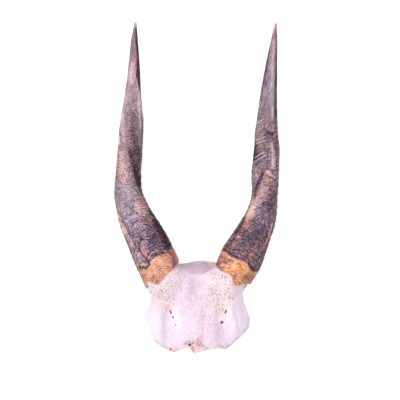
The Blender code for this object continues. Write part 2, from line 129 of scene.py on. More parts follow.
leftHorn = {
    "name": "horn_left_sheath",
    "node": "horn_left",
    "slot": "horn_left",
    "side": -1,
    "seed": 11,
    # x, y, z, half width and half depth
    "axis": [
        (-30.7, 67, 37, 21.2, 21.6), (-41.3, 92, 33.5, 21.3, 22), (-52.9, 116, 27.3, 19.5, 20),
        (-64.3, 140, 20, 16.4, 17), (-69.5, 158, 16, 14.7, 15.2), (-69.4, 176, 14, 13, 14.2),
        (-68.1, 200, 14.6, 12.6, 13.2), (-66.5, 224, 18, 12.1, 11.8), (-64.9, 254, 25, 8.6, 9.2),
        (-63.4, 284, 34, 5.9, 6.4), (-62.7, 314, 43.5, 3.1, 3.4), (-61.7, 328, 48.2, 1.1, 1.2),
    ],
    # angle round the axis and the height of the lower edge
    "rim": [
        (0, 17.5), (28, 14.2), (48, 11.1), (67, 9.5), (91, 5.7), (106, 2.3), (118, 3.6), (134, 8.6),
        (144, 11.9), (152, 6), (160, 1.6), (170, 4.4), (182, 9.4), (220, 11.5), (270, 13), (315, 15.9),
        (360, 17.5),
    ],
    # upper edge of the orange base, seen from above
    "orangeEdge": [
        (-60.5, 81.5), (-54, 83), (-49.5, 84), (-48.3, 88), (-46.2, 91.5), (-43.1, 94.3), (-39.5, 97),
        (-36.5, 98.6), (-32.2, 98.8), (-29.5, 101), (-26.5, 107.5), (-21, 109),
    ],
    # marks on the front: how much, then x, y and half width along each; tone is lighter above 0. Besides the
    # horn's own light and dark marks they hold painted highlights on ridges and edges, and painted shade
    # along edges and in hollows
    "toneAndShadingMarks": [
        # painted shade: the dark band along the inner side of the upper horn, which faces away from the light
        (-0.7, [(-61.3, 326, 0.6), (-60.5, 307, 0.9), (-59.4, 295, 1.2), (-58.9, 277, 2.1),
            (-57.8, 267, 1.5), (-57.5, 261, 0.8)]),
        (0.27, [(-65, 288, 1.4), (-66.5, 279, 3.0), (-66.5, 271, 3.0)]),
        (0.14, [(-72.5, 258, 2), (-76, 240, 2.4), (-78.5, 222, 2.4)]),
        # painted highlight along the ridge near the inner edge
        (0.3, [(-59, 262, 0.8), (-58.6, 250, 1.0), (-58.4, 236, 1.0), (-57.5, 224, 0.9)]),
        (-0.1, [(-63, 240, 3), (-64.5, 230, 3.4)]),
        (-0.3, [(-64.5, 224, 2.4), (-64, 212, 3.4), (-61, 200, 3.6)]),
        (-0.18, [(-59.5, 204, 3), (-58.5, 182, 2.6)]),
        # painted shade in the hollow of the bend
        (-0.44, [(-68.5, 203, 1.6), (-66, 195, 2.4), (-61.5, 182, 2.8), (-58, 168, 2.6)]),
        # painted shade along the inner side of the lower horn, which faces away from the light
        (-0.65, [(-56.5, 174, 2.4), (-53.5, 164, 3.0), (-46, 143, 3.4), (-37.5, 125, 4.2),
            (-29.5, 107, 4.2)]),
        (0.16, [(-76, 200, 3), (-74, 186, 3.4), (-71, 173, 3.4)]), (0.1, [(-79, 182, 2), (-79, 168, 2)]),
        (0.1, [(-72.5, 166, 3.5), (-69, 157, 4)]), (-0.1, [(-68, 149, 2.6), (-67, 142, 2.8)]),
        (0.2, [(-60.5, 147, 2.4), (-58, 140, 2.6)]), (0.05, [(-75.5, 150, 2.4), (-76, 142, 2)]),
        (-0.1, [(-58.5, 152, 2.0), (-53.5, 147, 2.4)]), (0.08, [(-70.5, 174, 2), (-64, 159, 2.4)]),
        (0.17, [(-75.5, 237, 2.6), (-75, 224, 2.6), (-73.5, 212, 2)]),
        (-0.06, [(-58.5, 214, 1.8), (-67, 198, 2)]), (-0.08, [(-65, 236, 4), (-65, 216, 4)]),
        # painted shade along the inner silhouette edge
        (-0.3, [(-56.2, 252, 0.6), (-55.3, 232, 0.6), (-55.2, 216, 0.8)]),
        # a painted highlight on the outer edge
        (0.8, [(-79, 216, 1.2), (-78.3, 209, 1.4)]),
        (-0.2, [(-50, 136, 3), (-47.5, 122, 5), (-41, 110, 5)]), (-0.08, [(-57, 118, 3), (-55, 113, 3)]),
        (-0.12, [(-49, 119, 2.5), (-46, 114, 2.5)]), (0.34, [(-68, 114, 2.2), (-65, 106, 2.2)]),
        (0.26, [(-74.5, 128, 1.4), (-72, 119, 1.6)]), (0.2, [(-61.5, 98, 3.4), (-58.5, 92, 3.6)]),
        (-0.14, [(-58, 89.6, 1.4), (-53.5, 90, 1.6)]), (0.36, [(-54.5, 87.2, 1.4), (-50.5, 87.4, 1.4)]),
        (0.12, [(-38.5, 96, 2), (-36.5, 92, 2.4)]), (0.12, [(-51, 73, 2), (-47, 71, 2)]),
        (0.13, [(-53.2, 111.3, 1.0), (-55, 108, 2.2), (-54.6, 104.5, 3.0), (-52.6, 101, 2.8),
            (-50.1, 97.3, 1.8), (-48, 94.3, 1.2)]),
        (-0.3, [(-48, 103, 2), (-49, 97.5, 1.4)]), (-0.3, [(-42, 97.5, 2), (-35, 98.5, 2)]),
        (-0.2, [(-28, 101, 2.2), (-24, 96, 3.2), (-22, 90, 3.2), (-23.5, 85, 2)]),
        (-0.5, [(-57, 84.8, 0.6), (-52.5, 84.2, 0.7), (-49, 86.6, 0.9)]),
    ],
    # warm brown areas, the warm tint of the painted shade band along the inner side, and the dark dried ones
    # in the orange base
    "warmMarks": [
        # warms the painted shade band along the inner side
        (0.7, [(-60.3, 305, 0.9), (-59, 277, 1.8), (-58, 266, 1.4)]),
        (0.85, [(-80.8, 138, 1.2), (-76.7, 127, 1.8), (-73.3, 120.5, 1.8), (-70.6, 115.5, 1.5)]),
        (0.5, [(-80, 199, 4), (-77, 190, 5), (-76, 178, 4), (-74.5, 171, 3)]),
        (0.5, [(-57, 152, 3.5), (-53, 145, 4.5), (-50, 136, 3.5)]),
        (0.6, [(-53.4, 111.3, 1.0), (-55, 108, 2.0), (-54.6, 104.5, 2.8), (-52.8, 101, 2.6),
            (-50.1, 97.3, 1.7), (-48, 94.3, 1.3)]),
        (0.85, [(-59.5, 87, 1.3), (-54, 86.9, 1.5), (-50.3, 88, 1.2)]),
        (0.7, [(-70.5, 131, 0.8), (-67, 134.5, 0.9), (-62.5, 136, 0.7)]),
        (0.7, [(-66.5, 120.5, 0.8), (-62, 126.5, 0.9), (-57.5, 129, 0.7)]),
        (0.7, [(-27, 103, 1.5), (-26.5, 100, 1.5)]),
        (0.3, [(-76, 232, 2.4), (-70, 262, 2.4), (-64, 292, 1.5)]),
        (0.3, [(-74, 222, 2), (-73.5, 206, 2)]), (0.4, [(-62.6, 294, 0.8), (-62.4, 276, 0.8)]),
    ],
    "mauveMarks": [
        (0.6, [(-56, 77, 3), (-52, 73, 3), (-41, 72, 3.5)]),
        (1.1, [(-28, 101, 2.2), (-24, 96, 3.4), (-22.5, 90, 3.4), (-23.5, 85, 2)]),
        (0.5, [(-38, 84, 4), (-36, 74, 3)]),
    ],
    # bluish lavender areas
    "lavenderMarks": [
        (0.9, [(-71, 159, 3.5), (-72, 153, 5), (-72, 144, 5), (-69, 134, 5)]),
        (0.7, [(-63, 128, 6), (-55, 118, 6), (-45, 106, 5)]), (0.3, [(-77, 172, 3), (-79, 160, 3)]),
        (0.5, [(-66, 270, 3), (-64.5, 290, 2)]),
    ],
    # brownish grey areas
    "greyMarks": [
        (0.6, [(-63, 214, 5), (-60, 198, 5), (-57, 180, 4)]), (0.4, [(-62, 236, 5), (-60, 222, 5)]),
        (0.4, [(-62, 180, 5), (-64, 168, 5), (-58, 158, 5)]),
    ],
    # thin pale lines; on this horn a painted highlight line along the ridge
    "paleLinesAndHighlights": [
        (1, [(-62.5, 277, 0.4), (-60.5, 268, 0.5), (-58.2, 257, 0.55), (-55.8, 238, 0.5),
            (-55.2, 224, 0.4)]),
    ],
    # slanting dark ticks: how much, distance, slope, bend, then x, y and half width
    "ticks": [
        (0.34, 3.0, -1.14, 0.06, [(-61.5, 238, 6), (-62, 222, 6.5), (-62, 205, 6)]),
        (0.18, 2.7, 0.5, 0.0, [(-75, 196, 5), (-70, 170, 7)]),
        (0.24, 2.2, -0.25, 0.0, [(-46, 134, 3), (-39, 120, 4)]),
    ],
    # places with a fainter grain
    "smoothMarks": [(0.8, [(-75, 246, 3), (-75, 226, 3.2), (-74, 210, 2.4)])],
    # raised and hollow runs: height, then x, y and half width
    "reliefRuns": [
        (1.0, [(-50, 138, 3), (-55, 148, 3), (-62, 158, 3), (-70, 168, 3), (-75, 180, 3), (-77, 195, 2.6),
            (-76, 212, 2)]),
        (-1.3, [(-55, 158, 2.5), (-59, 170, 3.5), (-62, 184, 4), (-67, 200, 4), (-70, 212, 3)]),
        (0.8, [(-55.5, 222, 1.6), (-56, 238, 1.6), (-58.5, 257, 1.5), (-62.5, 274, 1.4),
            (-62, 292, 1.2)]),
    ],
    # how the rings bend, sway and crowd, and how far the pale tip reaches
    "ringArch": 11.0,
    "ringSway": 0.7,
    "ringSize": 0.9,
    "tipRun": 6.0,
    "upperTilt": -8.0,
    # cracks: how deep, then x, y and half width
    "cracks": [
        (0.6, [(-80, 142, 0.5), (-75.5, 133, 0.5), (-71, 125.2, 0.6), (-68.1, 118.8, 0.7)]),
        (0.7, [(-68.1, 118.8, 0.7), (-65.9, 113.4, 0.5), (-62.2, 107, 0.6), (-59.5, 102.5, 0.7)]),
        (1.0, [(-51.8, 113, 0.4), (-55.9, 111.9, 0.7), (-57.8, 107.5, 0.8), (-58.4, 103.4, 0.8),
            (-57.2, 101, 0.7), (-54, 97, 0.7), (-51.3, 94.3, 0.7), (-48.8, 90.6, 0.7),
            (-47.6, 87.5, 0.8)]),
        (0.8, [(-56.8, 84.9, 0.5), (-52.5, 84.2, 0.6), (-49.5, 86, 0.7), (-48, 88, 0.7)]),
    ],
    # raised leaf: x, y, half width, half length and height
    "raised": [(-50, 104, 6.5, 9.5, 1.0)],
    # split flakes: angle, place, spread, reach and height; chips: angle, spread and depth
    "flakes": [(161, 4, 13, 7, 1.3)],
    "chips": [(160, 5, 2.2)],
    # its base is pinker than the other one's
    "finish": {
        "seedShift": 0.0,
        "baseMottle": 0.16,
        "tip": srgb(192, 152, 152),
        # share of the length, and how light the horn or how strong its grain is there
        "lightness": [
            (0.0, 0.4), (0.2, 0.405), (0.3, 0.56), (0.43, 0.485), (0.56, 0.535), (0.72, 0.605),
            (0.85, 0.545), (0.97, 0.49),
        ],
        "contrast": [
            (0.0, 0.92), (0.2, 0.92), (0.3, 0.74), (0.43, 0.86), (0.56, 0.66), (0.72, 0.7), (0.85, 0.56),
            (1.0, 0.5),
        ],
        "baseRamp": [
            (0.0, (112, 58, 50)), (0.25, (184, 114, 90)), (0.5, (218, 150, 122)), (0.75, (238, 186, 156)),
            (1.0, (250, 224, 206)),
        ],
    },
}
rightHorn = {
    # in the same forms as the left one
    "name": "horn_right_sheath",
    "node": "horn_right",
    "slot": "horn_right",
    "side": 1,
    "seed": 23,
    "axis": [
        (28.9, 67, 37, 19.2, 21.6), (43, 92, 33.5, 21.6, 22), (54.9, 116, 27.3, 18, 19.6),
        (65, 140, 20, 14.7, 16.5), (67.6, 158, 16, 13.3, 15), (68, 176, 14, 13.7, 14.3),
        (69.3, 200, 14.6, 13.2, 13.4), (69.5, 224, 18, 11.2, 11.7), (71.1, 254, 25, 8.6, 9.2),
        (73.7, 284, 34, 6.1, 6.4), (76.7, 314, 43.5, 2.9, 3.2), (78.1, 327.3, 48, 1, 1.1),
    ],
    "rim": [
        (0, 11.6), (17, 10.9), (52, 8.1), (72, 9.3), (82, 8.7), (95, 6.4), (110, 2.3), (123, 4.7),
        (148, 9.9), (180, 12.4), (220, 14.3), (270, 13), (315, 12.4), (360, 11.6),
    ],
    "orangeEdge": [
        (21.5, 102), (24.5, 101.5), (28.5, 99.5), (32.5, 96.5), (38, 93.5), (42.5, 92.5), (47, 91.3),
        (49.5, 88), (52, 84), (54.5, 81), (58.5, 80.5), (62.5, 83),
    ],
    "toneAndShadingMarks": [
        # painted shade along the outer edge of the upper horn
        (-0.5, [(79.4, 318, 0.6), (79.6, 300, 1.0), (79.2, 285, 1.2), (78.8, 262, 1.4),
            (79.2, 236, 1.4)]),
        # painted shade in the hollow of the bend
        (-0.42, [(64.5, 177, 1.8), (61.5, 172, 2.4), (58, 162, 2.6), (56.5, 155, 1.4)]),
        # painted shade along the inner edge of the upper horn
        (-0.3, [(71.6, 302, 0.6), (67.4, 276, 0.7), (62.8, 252, 0.8)]),
        (0.16, [(37, 117, 1.6), (42, 115, 1.9)]), (-0.08, [(39, 106, 2.2), (37, 102, 2.2)]),
        # the first mark extends the painted highlight streak
        (0.14, [(77, 193, 1.6), (76.5, 187, 1.8)]), (-0.08, [(73.5, 262, 1.6), (73.5, 252, 1.6)]),
        (-0.4, [(64.5, 181.5, 0.5), (68.5, 183, 0.6), (74.5, 179.8, 0.7), (80, 173.5, 0.7)]),
        (-0.3, [(64, 176.5, 0.5), (70.5, 177.3, 0.5), (78.5, 172.5, 0.6)]),
        (0.2, [(70.5, 180.3, 1.2), (75, 177.6, 1.3), (78, 174.8, 1.0)]),
        (0.3, [(75.5, 187.5, 1.8), (75.8, 183.5, 1.8)]), (0.16, [(76.5, 169, 1.6), (76.5, 164, 1.6)]),
        # painted shade over the inner face beside the ridge and along its edge
        (-0.2, [(57, 206, 4), (59, 196, 5), (60, 188, 4)]), (-0.3, [(57, 210, 1.2), (57, 190, 1.4)]),
        (0.22, [(74.6, 129, 0.8), (72, 119, 0.9), (69, 109, 0.9)]),
        (-0.24, [(72.6, 130, 0.7), (70, 120, 0.8), (67, 110, 0.8)]),
        (-0.24, [(75.5, 156, 3), (73, 142, 4)]), (-0.08, [(66, 148, 3), (65, 140, 3)]),
        (0.12, [(59.5, 177, 1.6), (59, 171, 1.6)]), (-0.14, [(60, 120, 6), (55, 112, 6)]),
        (0.06, [(63, 130, 3), (62, 124, 3)]),
        (-0.3, [(52, 146, 1.0), (44, 128, 1.4), (36, 114, 1.6), (30, 106, 1.8)]),
        (-0.4, [(27, 101.5, 0.7), (33, 98.6, 0.8), (40, 95, 0.7)]),
        (-0.4, [(50, 89, 0.8), (55, 83, 0.8), (60, 82, 0.8)]),
        # a painted highlight streak on the ridge
        (0.42, [(74.6, 208, 1.2), (75.4, 199, 1.5), (75.2, 189, 1.7)]),
        (-0.3, [(58.5, 193.5, 0.5), (62, 195.6, 0.5), (64.5, 196.8, 0.4)]),
        # the second mark is a painted highlight
        (-0.35, [(65.5, 194.2, 0.5), (70.5, 195.8, 0.5)]), (0.35, [(75.5, 227, 1.0), (75, 221, 1.2)]),
        (0.2, [(75, 243, 1.4), (75, 236, 1.4)]),
        # a painted highlight strip along the ridge
        (0.26, [(76.5, 312, 0.9), (75, 296, 1.2), (74.8, 280, 1.5), (74.3, 262, 1.8), (74.6, 246, 1.7),
            (75, 232, 1.3)]),
        (-0.2, [(71, 304, 1.2), (69, 285, 2), (67.5, 268, 2.4)]),
        (-0.3, [(71, 220, 1.6), (74, 218, 1.6)]), (-0.14, [(67, 224, 2.4), (69, 216, 2.4)]),
        (-0.3, [(78.5, 216, 1.0), (78.5, 206, 1.0)]), (-0.1, [(67, 204, 2.2), (69.5, 190, 2.6)]),
        (-0.04, [(71, 175.5, 2.0), (68, 169, 2.8), (65.5, 164, 2.8)]),
        (0.17, [(63, 159, 2.4), (61, 155, 2.6), (57, 147, 3.0)]),
        (-0.14, [(79.2, 170, 1.6), (79, 150, 1.6)]), (0.36, [(56, 146, 2.6), (51, 135.5, 2.8)]),
        (-0.1, [(47.5, 129, 1.6), (45, 125, 1.8)]), (-0.2, [(63.5, 159, 1.6), (61, 156, 1.6)]),
        (-0.2, [(69, 168, 1.2), (74, 162, 1.4)]), (-0.2, [(66, 150, 1.2), (72, 148, 1.4)]),
        (0.16, [(38, 92, 2), (34, 84, 4)]), (-0.14, [(42.5, 79, 2), (43, 75, 2)]),
        (-0.1, [(20, 95, 3), (20.5, 86, 3)]),
    ],
    "warmMarks": [
        (0.8, [(75.5, 187.5, 2.0), (75.5, 183, 2.2)]),
        (0.7, [(70.5, 180.3, 1.4), (75, 177.6, 1.6), (78, 175, 1.2)]),
        (0.62, [(70, 178, 2), (71, 176, 2.8), (68, 170, 4.4), (63, 159, 4.2), (57, 148, 3.6),
            (53, 139, 3.4)]),
        (0.9, [(55.5, 138, 2.2), (51, 136, 2.8)]), (0.8, [(50, 131, 2.8), (47, 125, 2.4)]),
        (0.85, [(75, 128, 0.9), (72, 119, 1.2), (68.5, 109, 1.2), (66.5, 104, 0.8)]),
        (0.6, [(77, 218, 1.2), (78.5, 208, 1.4)]), (0.5, [(77.5, 196, 1.6), (77.5, 186, 1.6)]),
        (0.2, [(64, 206, 6), (60, 196, 5), (61, 222, 4)]), (0.3, [(57, 108, 6), (50, 98, 5)]),
        (0.4, [(34, 110, 4), (38, 104, 3)]), (0.75, [(36.5, 117, 1.3), (42, 115, 1.6)]),
        (0.6, [(53, 97, 1.6), (54, 92, 1.4)]),
        (0.12, [(73, 304, 1.0), (69, 284, 1.4), (65.5, 266, 1.4), (62, 245, 1.4)]),
    ],
    "mauveMarks": [
        (1.3, [(21, 96, 3.5), (29, 92, 3.5), (35, 91, 2)]), (1.2, [(19.5, 88, 3.5), (22, 82, 3)]),
        (0.8, [(46, 74, 4), (56, 74, 3)]),
    ],
    "lavenderMarks": [
        (1.0, [(72, 290, 2), (71, 270, 3.5), (70.5, 255, 4), (73, 240, 3)]),
        # the first run tints the painted highlight streak lavender
        (0.4, [(75, 206, 1.6), (74.5, 192, 2)]), (0.7, [(66, 157, 3), (71, 155, 3)]),
        (0.8, [(62, 144, 3), (67, 142, 3)]), (0.9, [(66, 132, 5), (62, 120, 5)]),
        (0.5, [(60, 112, 5), (52, 102, 5)]),
    ],
    "greyMarks": [
        (0.8, [(62, 222, 6), (61, 200, 6.5), (60, 184, 6)]),
        (0.15, [(70, 228, 4), (71, 250, 5), (72, 280, 4)]),
    ],
    "paleLinesAndHighlights": [
        # the first run is a painted highlight streak on the ridge; the rest are pale scratches
        (0.95, [(74.4, 209, 0.9), (75.2, 203, 1.3), (75.4, 196, 1.1), (75.2, 189, 1.2)]),
        (1, [(57.0, 194.4, 0.4), (61.5, 197.6, 0.5), (66.8, 199.8, 0.4)]),
        (1, [(56.3, 189.7, 0.45), (61, 193.4, 0.55), (69.5, 197.0, 0.45)]),
        (0.4, [(64.5, 190.5, 0.4), (70, 193.2, 0.4)]), (1, [(58.5, 212, 0.45), (67.5, 215, 0.5)]),
        (0.9, [(58.5, 209, 0.45), (68.5, 211.4, 0.4)]), (0.9, [(61.3, 222, 0.4), (66.3, 226, 0.4)]),
        (0.9, [(59.4, 228.2, 0.4), (66.3, 233.2, 0.4)]), (0.6, [(57.5, 183, 0.3), (62, 188, 0.35)]),
        (0.5, [(58.5, 204, 0.3), (65, 207, 0.3)]),
    ],
    "ticks": [
        (0.18, 2.6, 0.55, 0.02, [(62, 236, 4), (60, 212, 6), (60, 186, 6)]),
        (0.2, 2.4, -0.4, 0.0, [(70, 177, 5), (62, 158, 6), (54, 142, 5)]),
    ],
    "smoothMarks": [
        (0.7, [(62, 216, 5), (61, 200, 6), (60, 186, 5)]),
        (0.45, [(71, 290, 3), (71, 262, 5), (72, 240, 4)]),
    ],
    "reliefRuns": [
        (1.1, [(47, 126, 3), (51, 135, 3), (56, 147, 3), (62, 159, 3), (68, 171, 3), (73, 182, 2.6),
            (74.5, 192, 2.2), (74, 205, 2.2), (73.5, 221, 2.2), (73.5, 240, 2.2), (73.5, 262, 2.2),
            (75, 285, 1.8)]),
        (-1.5, [(56, 152, 2.5), (58, 165, 3.6), (60, 178, 4.5), (62, 195, 5), (63, 212, 5)]),
    ],
    "ringArch": 5.0,
    "ringSway": 0.35,
    "ringSize": 0.72,
    "tipRun": 9.0,
    "upperTilt": 6.0,
    "cracks": [(0.8, [(54, 148, 0.4), (61, 145, 0.5), (68, 139, 0.4)])],
    "raised": [],
    "flakes": [(168, 12, 12, 5, 0.7)],
    "chips": [(166, 5, 2.0)],
    "finish": {
        "seedShift": 57.0,
        # colour of the pale scratches and of the painted highlight streak
        "pale": srgb(222, 200, 226),
        "baseMottle": 0.22,
        "baseLines": 0.18,
        "tip": srgb(210, 152, 150),
        "lightness": [
            (0.0, 0.33), (0.2, 0.29), (0.3, 0.45), (0.435, 0.52), (0.52, 0.43), (0.665, 0.485),
            (0.835, 0.6), (0.97, 0.56),
        ],
        "contrast": [
            (0.0, 0.72), (0.2, 0.66), (0.3, 0.92), (0.435, 0.8), (0.52, 1.0), (0.665, 0.62),
            (0.835, 0.78), (1.0, 0.7),
        ],
        "baseRamp": [
            (0.0, (116, 64, 48)), (0.25, (188, 116, 78)), (0.5, (233, 159, 109)), (0.75, (249, 197, 148)),
            (1.0, (253, 228, 200)),
        ],
    },
}


def unit(rows):
    return rows / np.linalg.norm(rows, axis=1, keepdims=True)


def ease(value, low, high):
    part = np.clip((value - low) / (high - low), 0, 1)
    return part * part * (3 - 2 * part)


# smooth curve through rows whose first value is the place
def throughRows(rows, place):
    rows = np.array(rows, dtype=float)
    places, values = rows[:, 0], rows[:, 1:]
    slopes = np.gradient(values, places, axis=0)
    place = np.clip(place, places[0], places[-1])
    i = np.clip(np.searchsorted(places, place, side="right") - 1, 0, len(places) - 2)
    span = (places[i + 1] - places[i])[:, None]
    u = (place - places[i])[:, None] / span
    bend = (values[i + 1] - values[i]) / span
    return values[i] + span * u * ((1 - u) ** 2 * slopes[i] + u * (3 - 2 * u) * bend
                                   - u * (1 - u) * slopes[i + 1])


def betweenRows(rows, place):
    rows = np.array(rows, dtype=float)
    return np.interp(place, rows[:, 0], rows[:, 1])


# even random bumps from -1 to 1; size is one bump's length in mm, one value or one for each axis
def bumps(points, size, seed):
    lattice = np.random.default_rng(seed).uniform(-1, 1, (latticeSide,) * 3)
    place = points / np.array(size, dtype=float)
    cell = np.floor(place).astype(int)
    part = place - cell
    part = part * part * (3 - 2 * part)
    total = np.zeros(len(points))
    for corner in np.ndindex(2, 2, 2):
        weight = np.prod(np.where(corner, part, 1 - part), axis=1)
        spot = (cell + corner) % latticeSide
        total += weight * lattice[spot[:, 0], spot[:, 1], spot[:, 2]]
    return total


# sum of several bumps: the weight, the size and the draw of each
def mixedBumps(points, parts, seed=0):
    total = 0
    for weight, size, draw in parts:
        total = total + weight * bumps(points, size, seed + draw)
    return total


# share from 0 to 1 near a run of places with their own half widths, seen from above
def markShare(x, y, run):
    best = np.full(len(x), 1e6)
    for (xa, ya, wa), (xb, yb, wb) in zip(run, run[1:]):
        dx, dy = xb - xa, yb - ya
        along = np.clip(((x - xa) * dx + (y - ya) * dy) / (dx * dx + dy * dy), 0, 1)
        away = np.hypot(x - xa - along * dx, y - ya - along * dy)
        best = np.minimum(best, away / (wa + (wb - wa) * along))
    return np.exp(-best ** 2)


# marks are an amount and a run each; they add up where they meet
def marksShare(x, y, marks):
    share = np.zeros(len(x))
    for amount, run in marks:
        share += amount * markShare(x, y, run)
    return share


def meshPiece(name, points, faces, move):
    mesh = bpy.data.meshes.new(name)
    mesh.from_pydata([tuple(p) for p in (points + move) * mm], [], faces)
    mesh.validate()
    mesh.shade_smooth()
    piece = bpy.data.objects.new(name, mesh)
    bpy.context.scene.collection.objects.link(piece)
    return piece


def storeShare(mesh, name, values):
    layer = mesh.attributes.new(name, "FLOAT", "POINT")
    layer.data.foreach_set("value", np.asarray(values, dtype=np.float32))


def storePlace(mesh, name, rows):
    layer = mesh.attributes.new(name, "FLOAT_VECTOR", "POINT")
    layer.data.foreach_set("vector", np.asarray(rows, dtype=np.float32).ravel())


# rows with the running length first, so that places count in mm from the base
def hornRows(horn):
    rows = np.array(horn["axis"], dtype=float)
    steps = np.linalg.norm(np.diff(rows[:, :3], axis=0), axis=1)
    return np.column_stack([np.concatenate([[0], np.cumsum(steps)]), rows])


def hornFrame(horn, rows, place):
    length = rows[-1, 0]
    middle = throughRows(rows, place)
    ahead = throughRows(rows, np.minimum(place + 1, length))
    behind = throughRows(rows, np.maximum(place - 1, 0))
    up = unit(ahead[:, :3] - behind[:, :3])
    across = unit(np.cross(up, np.array([0.0, 0.0, 1.0])))
    front = np.cross(across, up)
    return middle[:, :3], -horn["side"] * across, front, up, middle[:, 3:4], middle[:, 4:5]


# the frame at one place only
def hornAt(horn, place):
    return [row[0] for row in hornFrame(horn, hornRows(horn), np.array([place]))]


def keelAngle(place, length):
    return betweenRows(hornShape["keelTurn"], np.maximum(place, 0) / length)


def ridgeRadius(offset, strength):
    total = 0
    for ridge, height, spread in hornShape["ridges"]:
        away = np.abs((offset - ridge + 180) % 360 - 180) / spread
        total = total + height * np.exp(-away ** 1.4)
    return 1 + strength * total


# how strong the ridges along the horn are: weaker at its base, and even in the socket
def outerStrength(place):
    share = np.minimum(1, np.maximum(place, 0) / hornShape["fullStrengthAt"])
    return hornShape["baseStrength"] + (1 - hornShape["baseStrength"]) * share


def socketStrength(place):
    return np.full(len(place), hornShape["socketStrength"])


# section of the horn, stretched so that it reaches 1 on each side
def sectionPoints(offset, place, length, strengthAt):
    stations = np.linspace(0, length, hornShape["stations"])
    ring = np.arange(0, 360, 4.0)
    ringAngle = np.radians(keelAngle(stations, length)[:, None] + ring)
    ringRadius = ridgeRadius(ring, strengthAt(stations)[:, None])
    angle = np.radians(keelAngle(place, length) + offset)
    radius = ridgeRadius(offset, strengthAt(place))
    section = []
    for part in (np.cos, np.sin):
        edges = ringRadius * part(ringAngle)
        low = np.interp(place, stations, edges.min(axis=1))
        high = np.interp(place, stations, edges.max(axis=1))
        section.append(((2 * radius * part(angle) - low - high) / (high - low))[:, None])
    return section


# places in mm on a round bar, so that noise has no seam
def barPlaces(turn, place, radius=hornShape["barRadius"]):
    turn = np.radians(turn)
    return np.stack([radius * np.cos(turn), radius * np.sin(turn), place], axis=1)


# ragged lower edge: the drawn outline with small nicks and chips
def rimHeight(horn, angle):
    nick = barPlaces(angle, np.zeros(len(angle)), hornShape["rimRadius"])
    rim = betweenRows(horn["rim"], angle) + mixedBumps(nick, hornShape["noise"]["nicks"], horn["seed"])
    for middle, spread, depth in horn["chips"]:
        rim += depth * np.exp(-((angle - middle) / spread) ** 2)
    return rim


# a grid over the horn; the rim belongs to the angle at its own height, so that is found in two steps
def rimPlaces(horn, length, rowPlaces, rimShares, inset):
    count = hornShape["columns"]
    t = np.repeat(rowPlaces, count)
    rimShare = np.repeat(rimShares, count)
    offset = np.tile(np.arange(count) * 360.0 / count, len(rowPlaces))
    place = t
    for _ in range(2):
        angle = (keelAngle(place, length) + offset) % 360
        place = t + rimShare * (rimHeight(horn, angle) + inset)
    return t, rimShare, offset, angle, place


# points on the horn's smooth form and the outward direction there
def hornSurface(horn, rows, offset, place, strengthAt, wall):
    u, v = sectionPoints(offset, place, rows[-1, 0], strengthAt)
    middle, inward, front, up, wide, deep = hornFrame(horn, rows, place)
    points = middle + inward * u * (wide - wall) + front * v * (deep - wall)
    return points, unit(inward * u / wide + front * v / deep), middle, up, wide


# split flakes that stand off at the rim, in mm
def flakeLift(horn, angle, place):
    lift = np.zeros(len(place))
    for turnAt, placeAt, spread, reach, height in horn["flakes"]:
        below = 1 - ease(place, placeAt, placeAt + reach)
        lift += height * np.exp(-((angle - turnAt) / spread) ** 2) * below
    return lift


# the rings are oblique: they arch over the front low on the horn and lean to one side higher up
def ringLift(horn, place, offset, angle):
    keelBump = np.exp(-(((offset + 180) % 360 - 180) / hornShape["keelSpread"]) ** 2)
    low = 1 - ease(place, *hornShape["archEnds"])
    arch = np.exp(-(((angle - 90 + 180) % 360 - 180) / hornShape["archSpread"]) ** 2)
    tilt = np.cos(np.radians(angle)) * ease(place, *hornShape["tiltStarts"])
    sway = mixedBumps(barPlaces(offset, place), hornShape["noise"]["sway"], horn["seed"])
    return -horn["ringArch"] * arch * low + horn["upperTilt"] * tilt \
        + hornShape["keelRise"] * keelBump * low + horn["ringSway"] * sway


# share of the orange base: below its drawn edge in front, and below one height behind
def orangeShare(horn, x, y, place, wobble, faced):
    first, second = [np.array(row[:2]) for row in horn["axis"][:2]]
    along = (second - first) / np.linalg.norm(second - first)
    across = np.array([along[1], -along[0]])
    edge = np.array(horn["orangeEdge"]) - first
    edgeAcross, edgeAlong = edge @ across, edge @ along
    order = np.argsort(edgeAcross)
    here = np.stack([x, y], axis=1) - first
    inFront = np.interp(here @ across, edgeAcross[order], edgeAlong[order]) - here @ along
    behind = hornShape["orangeBehind"] - place
    return ease(faced * inFront + (1 - faced) * behind + wobble, -0.5, 0.5)


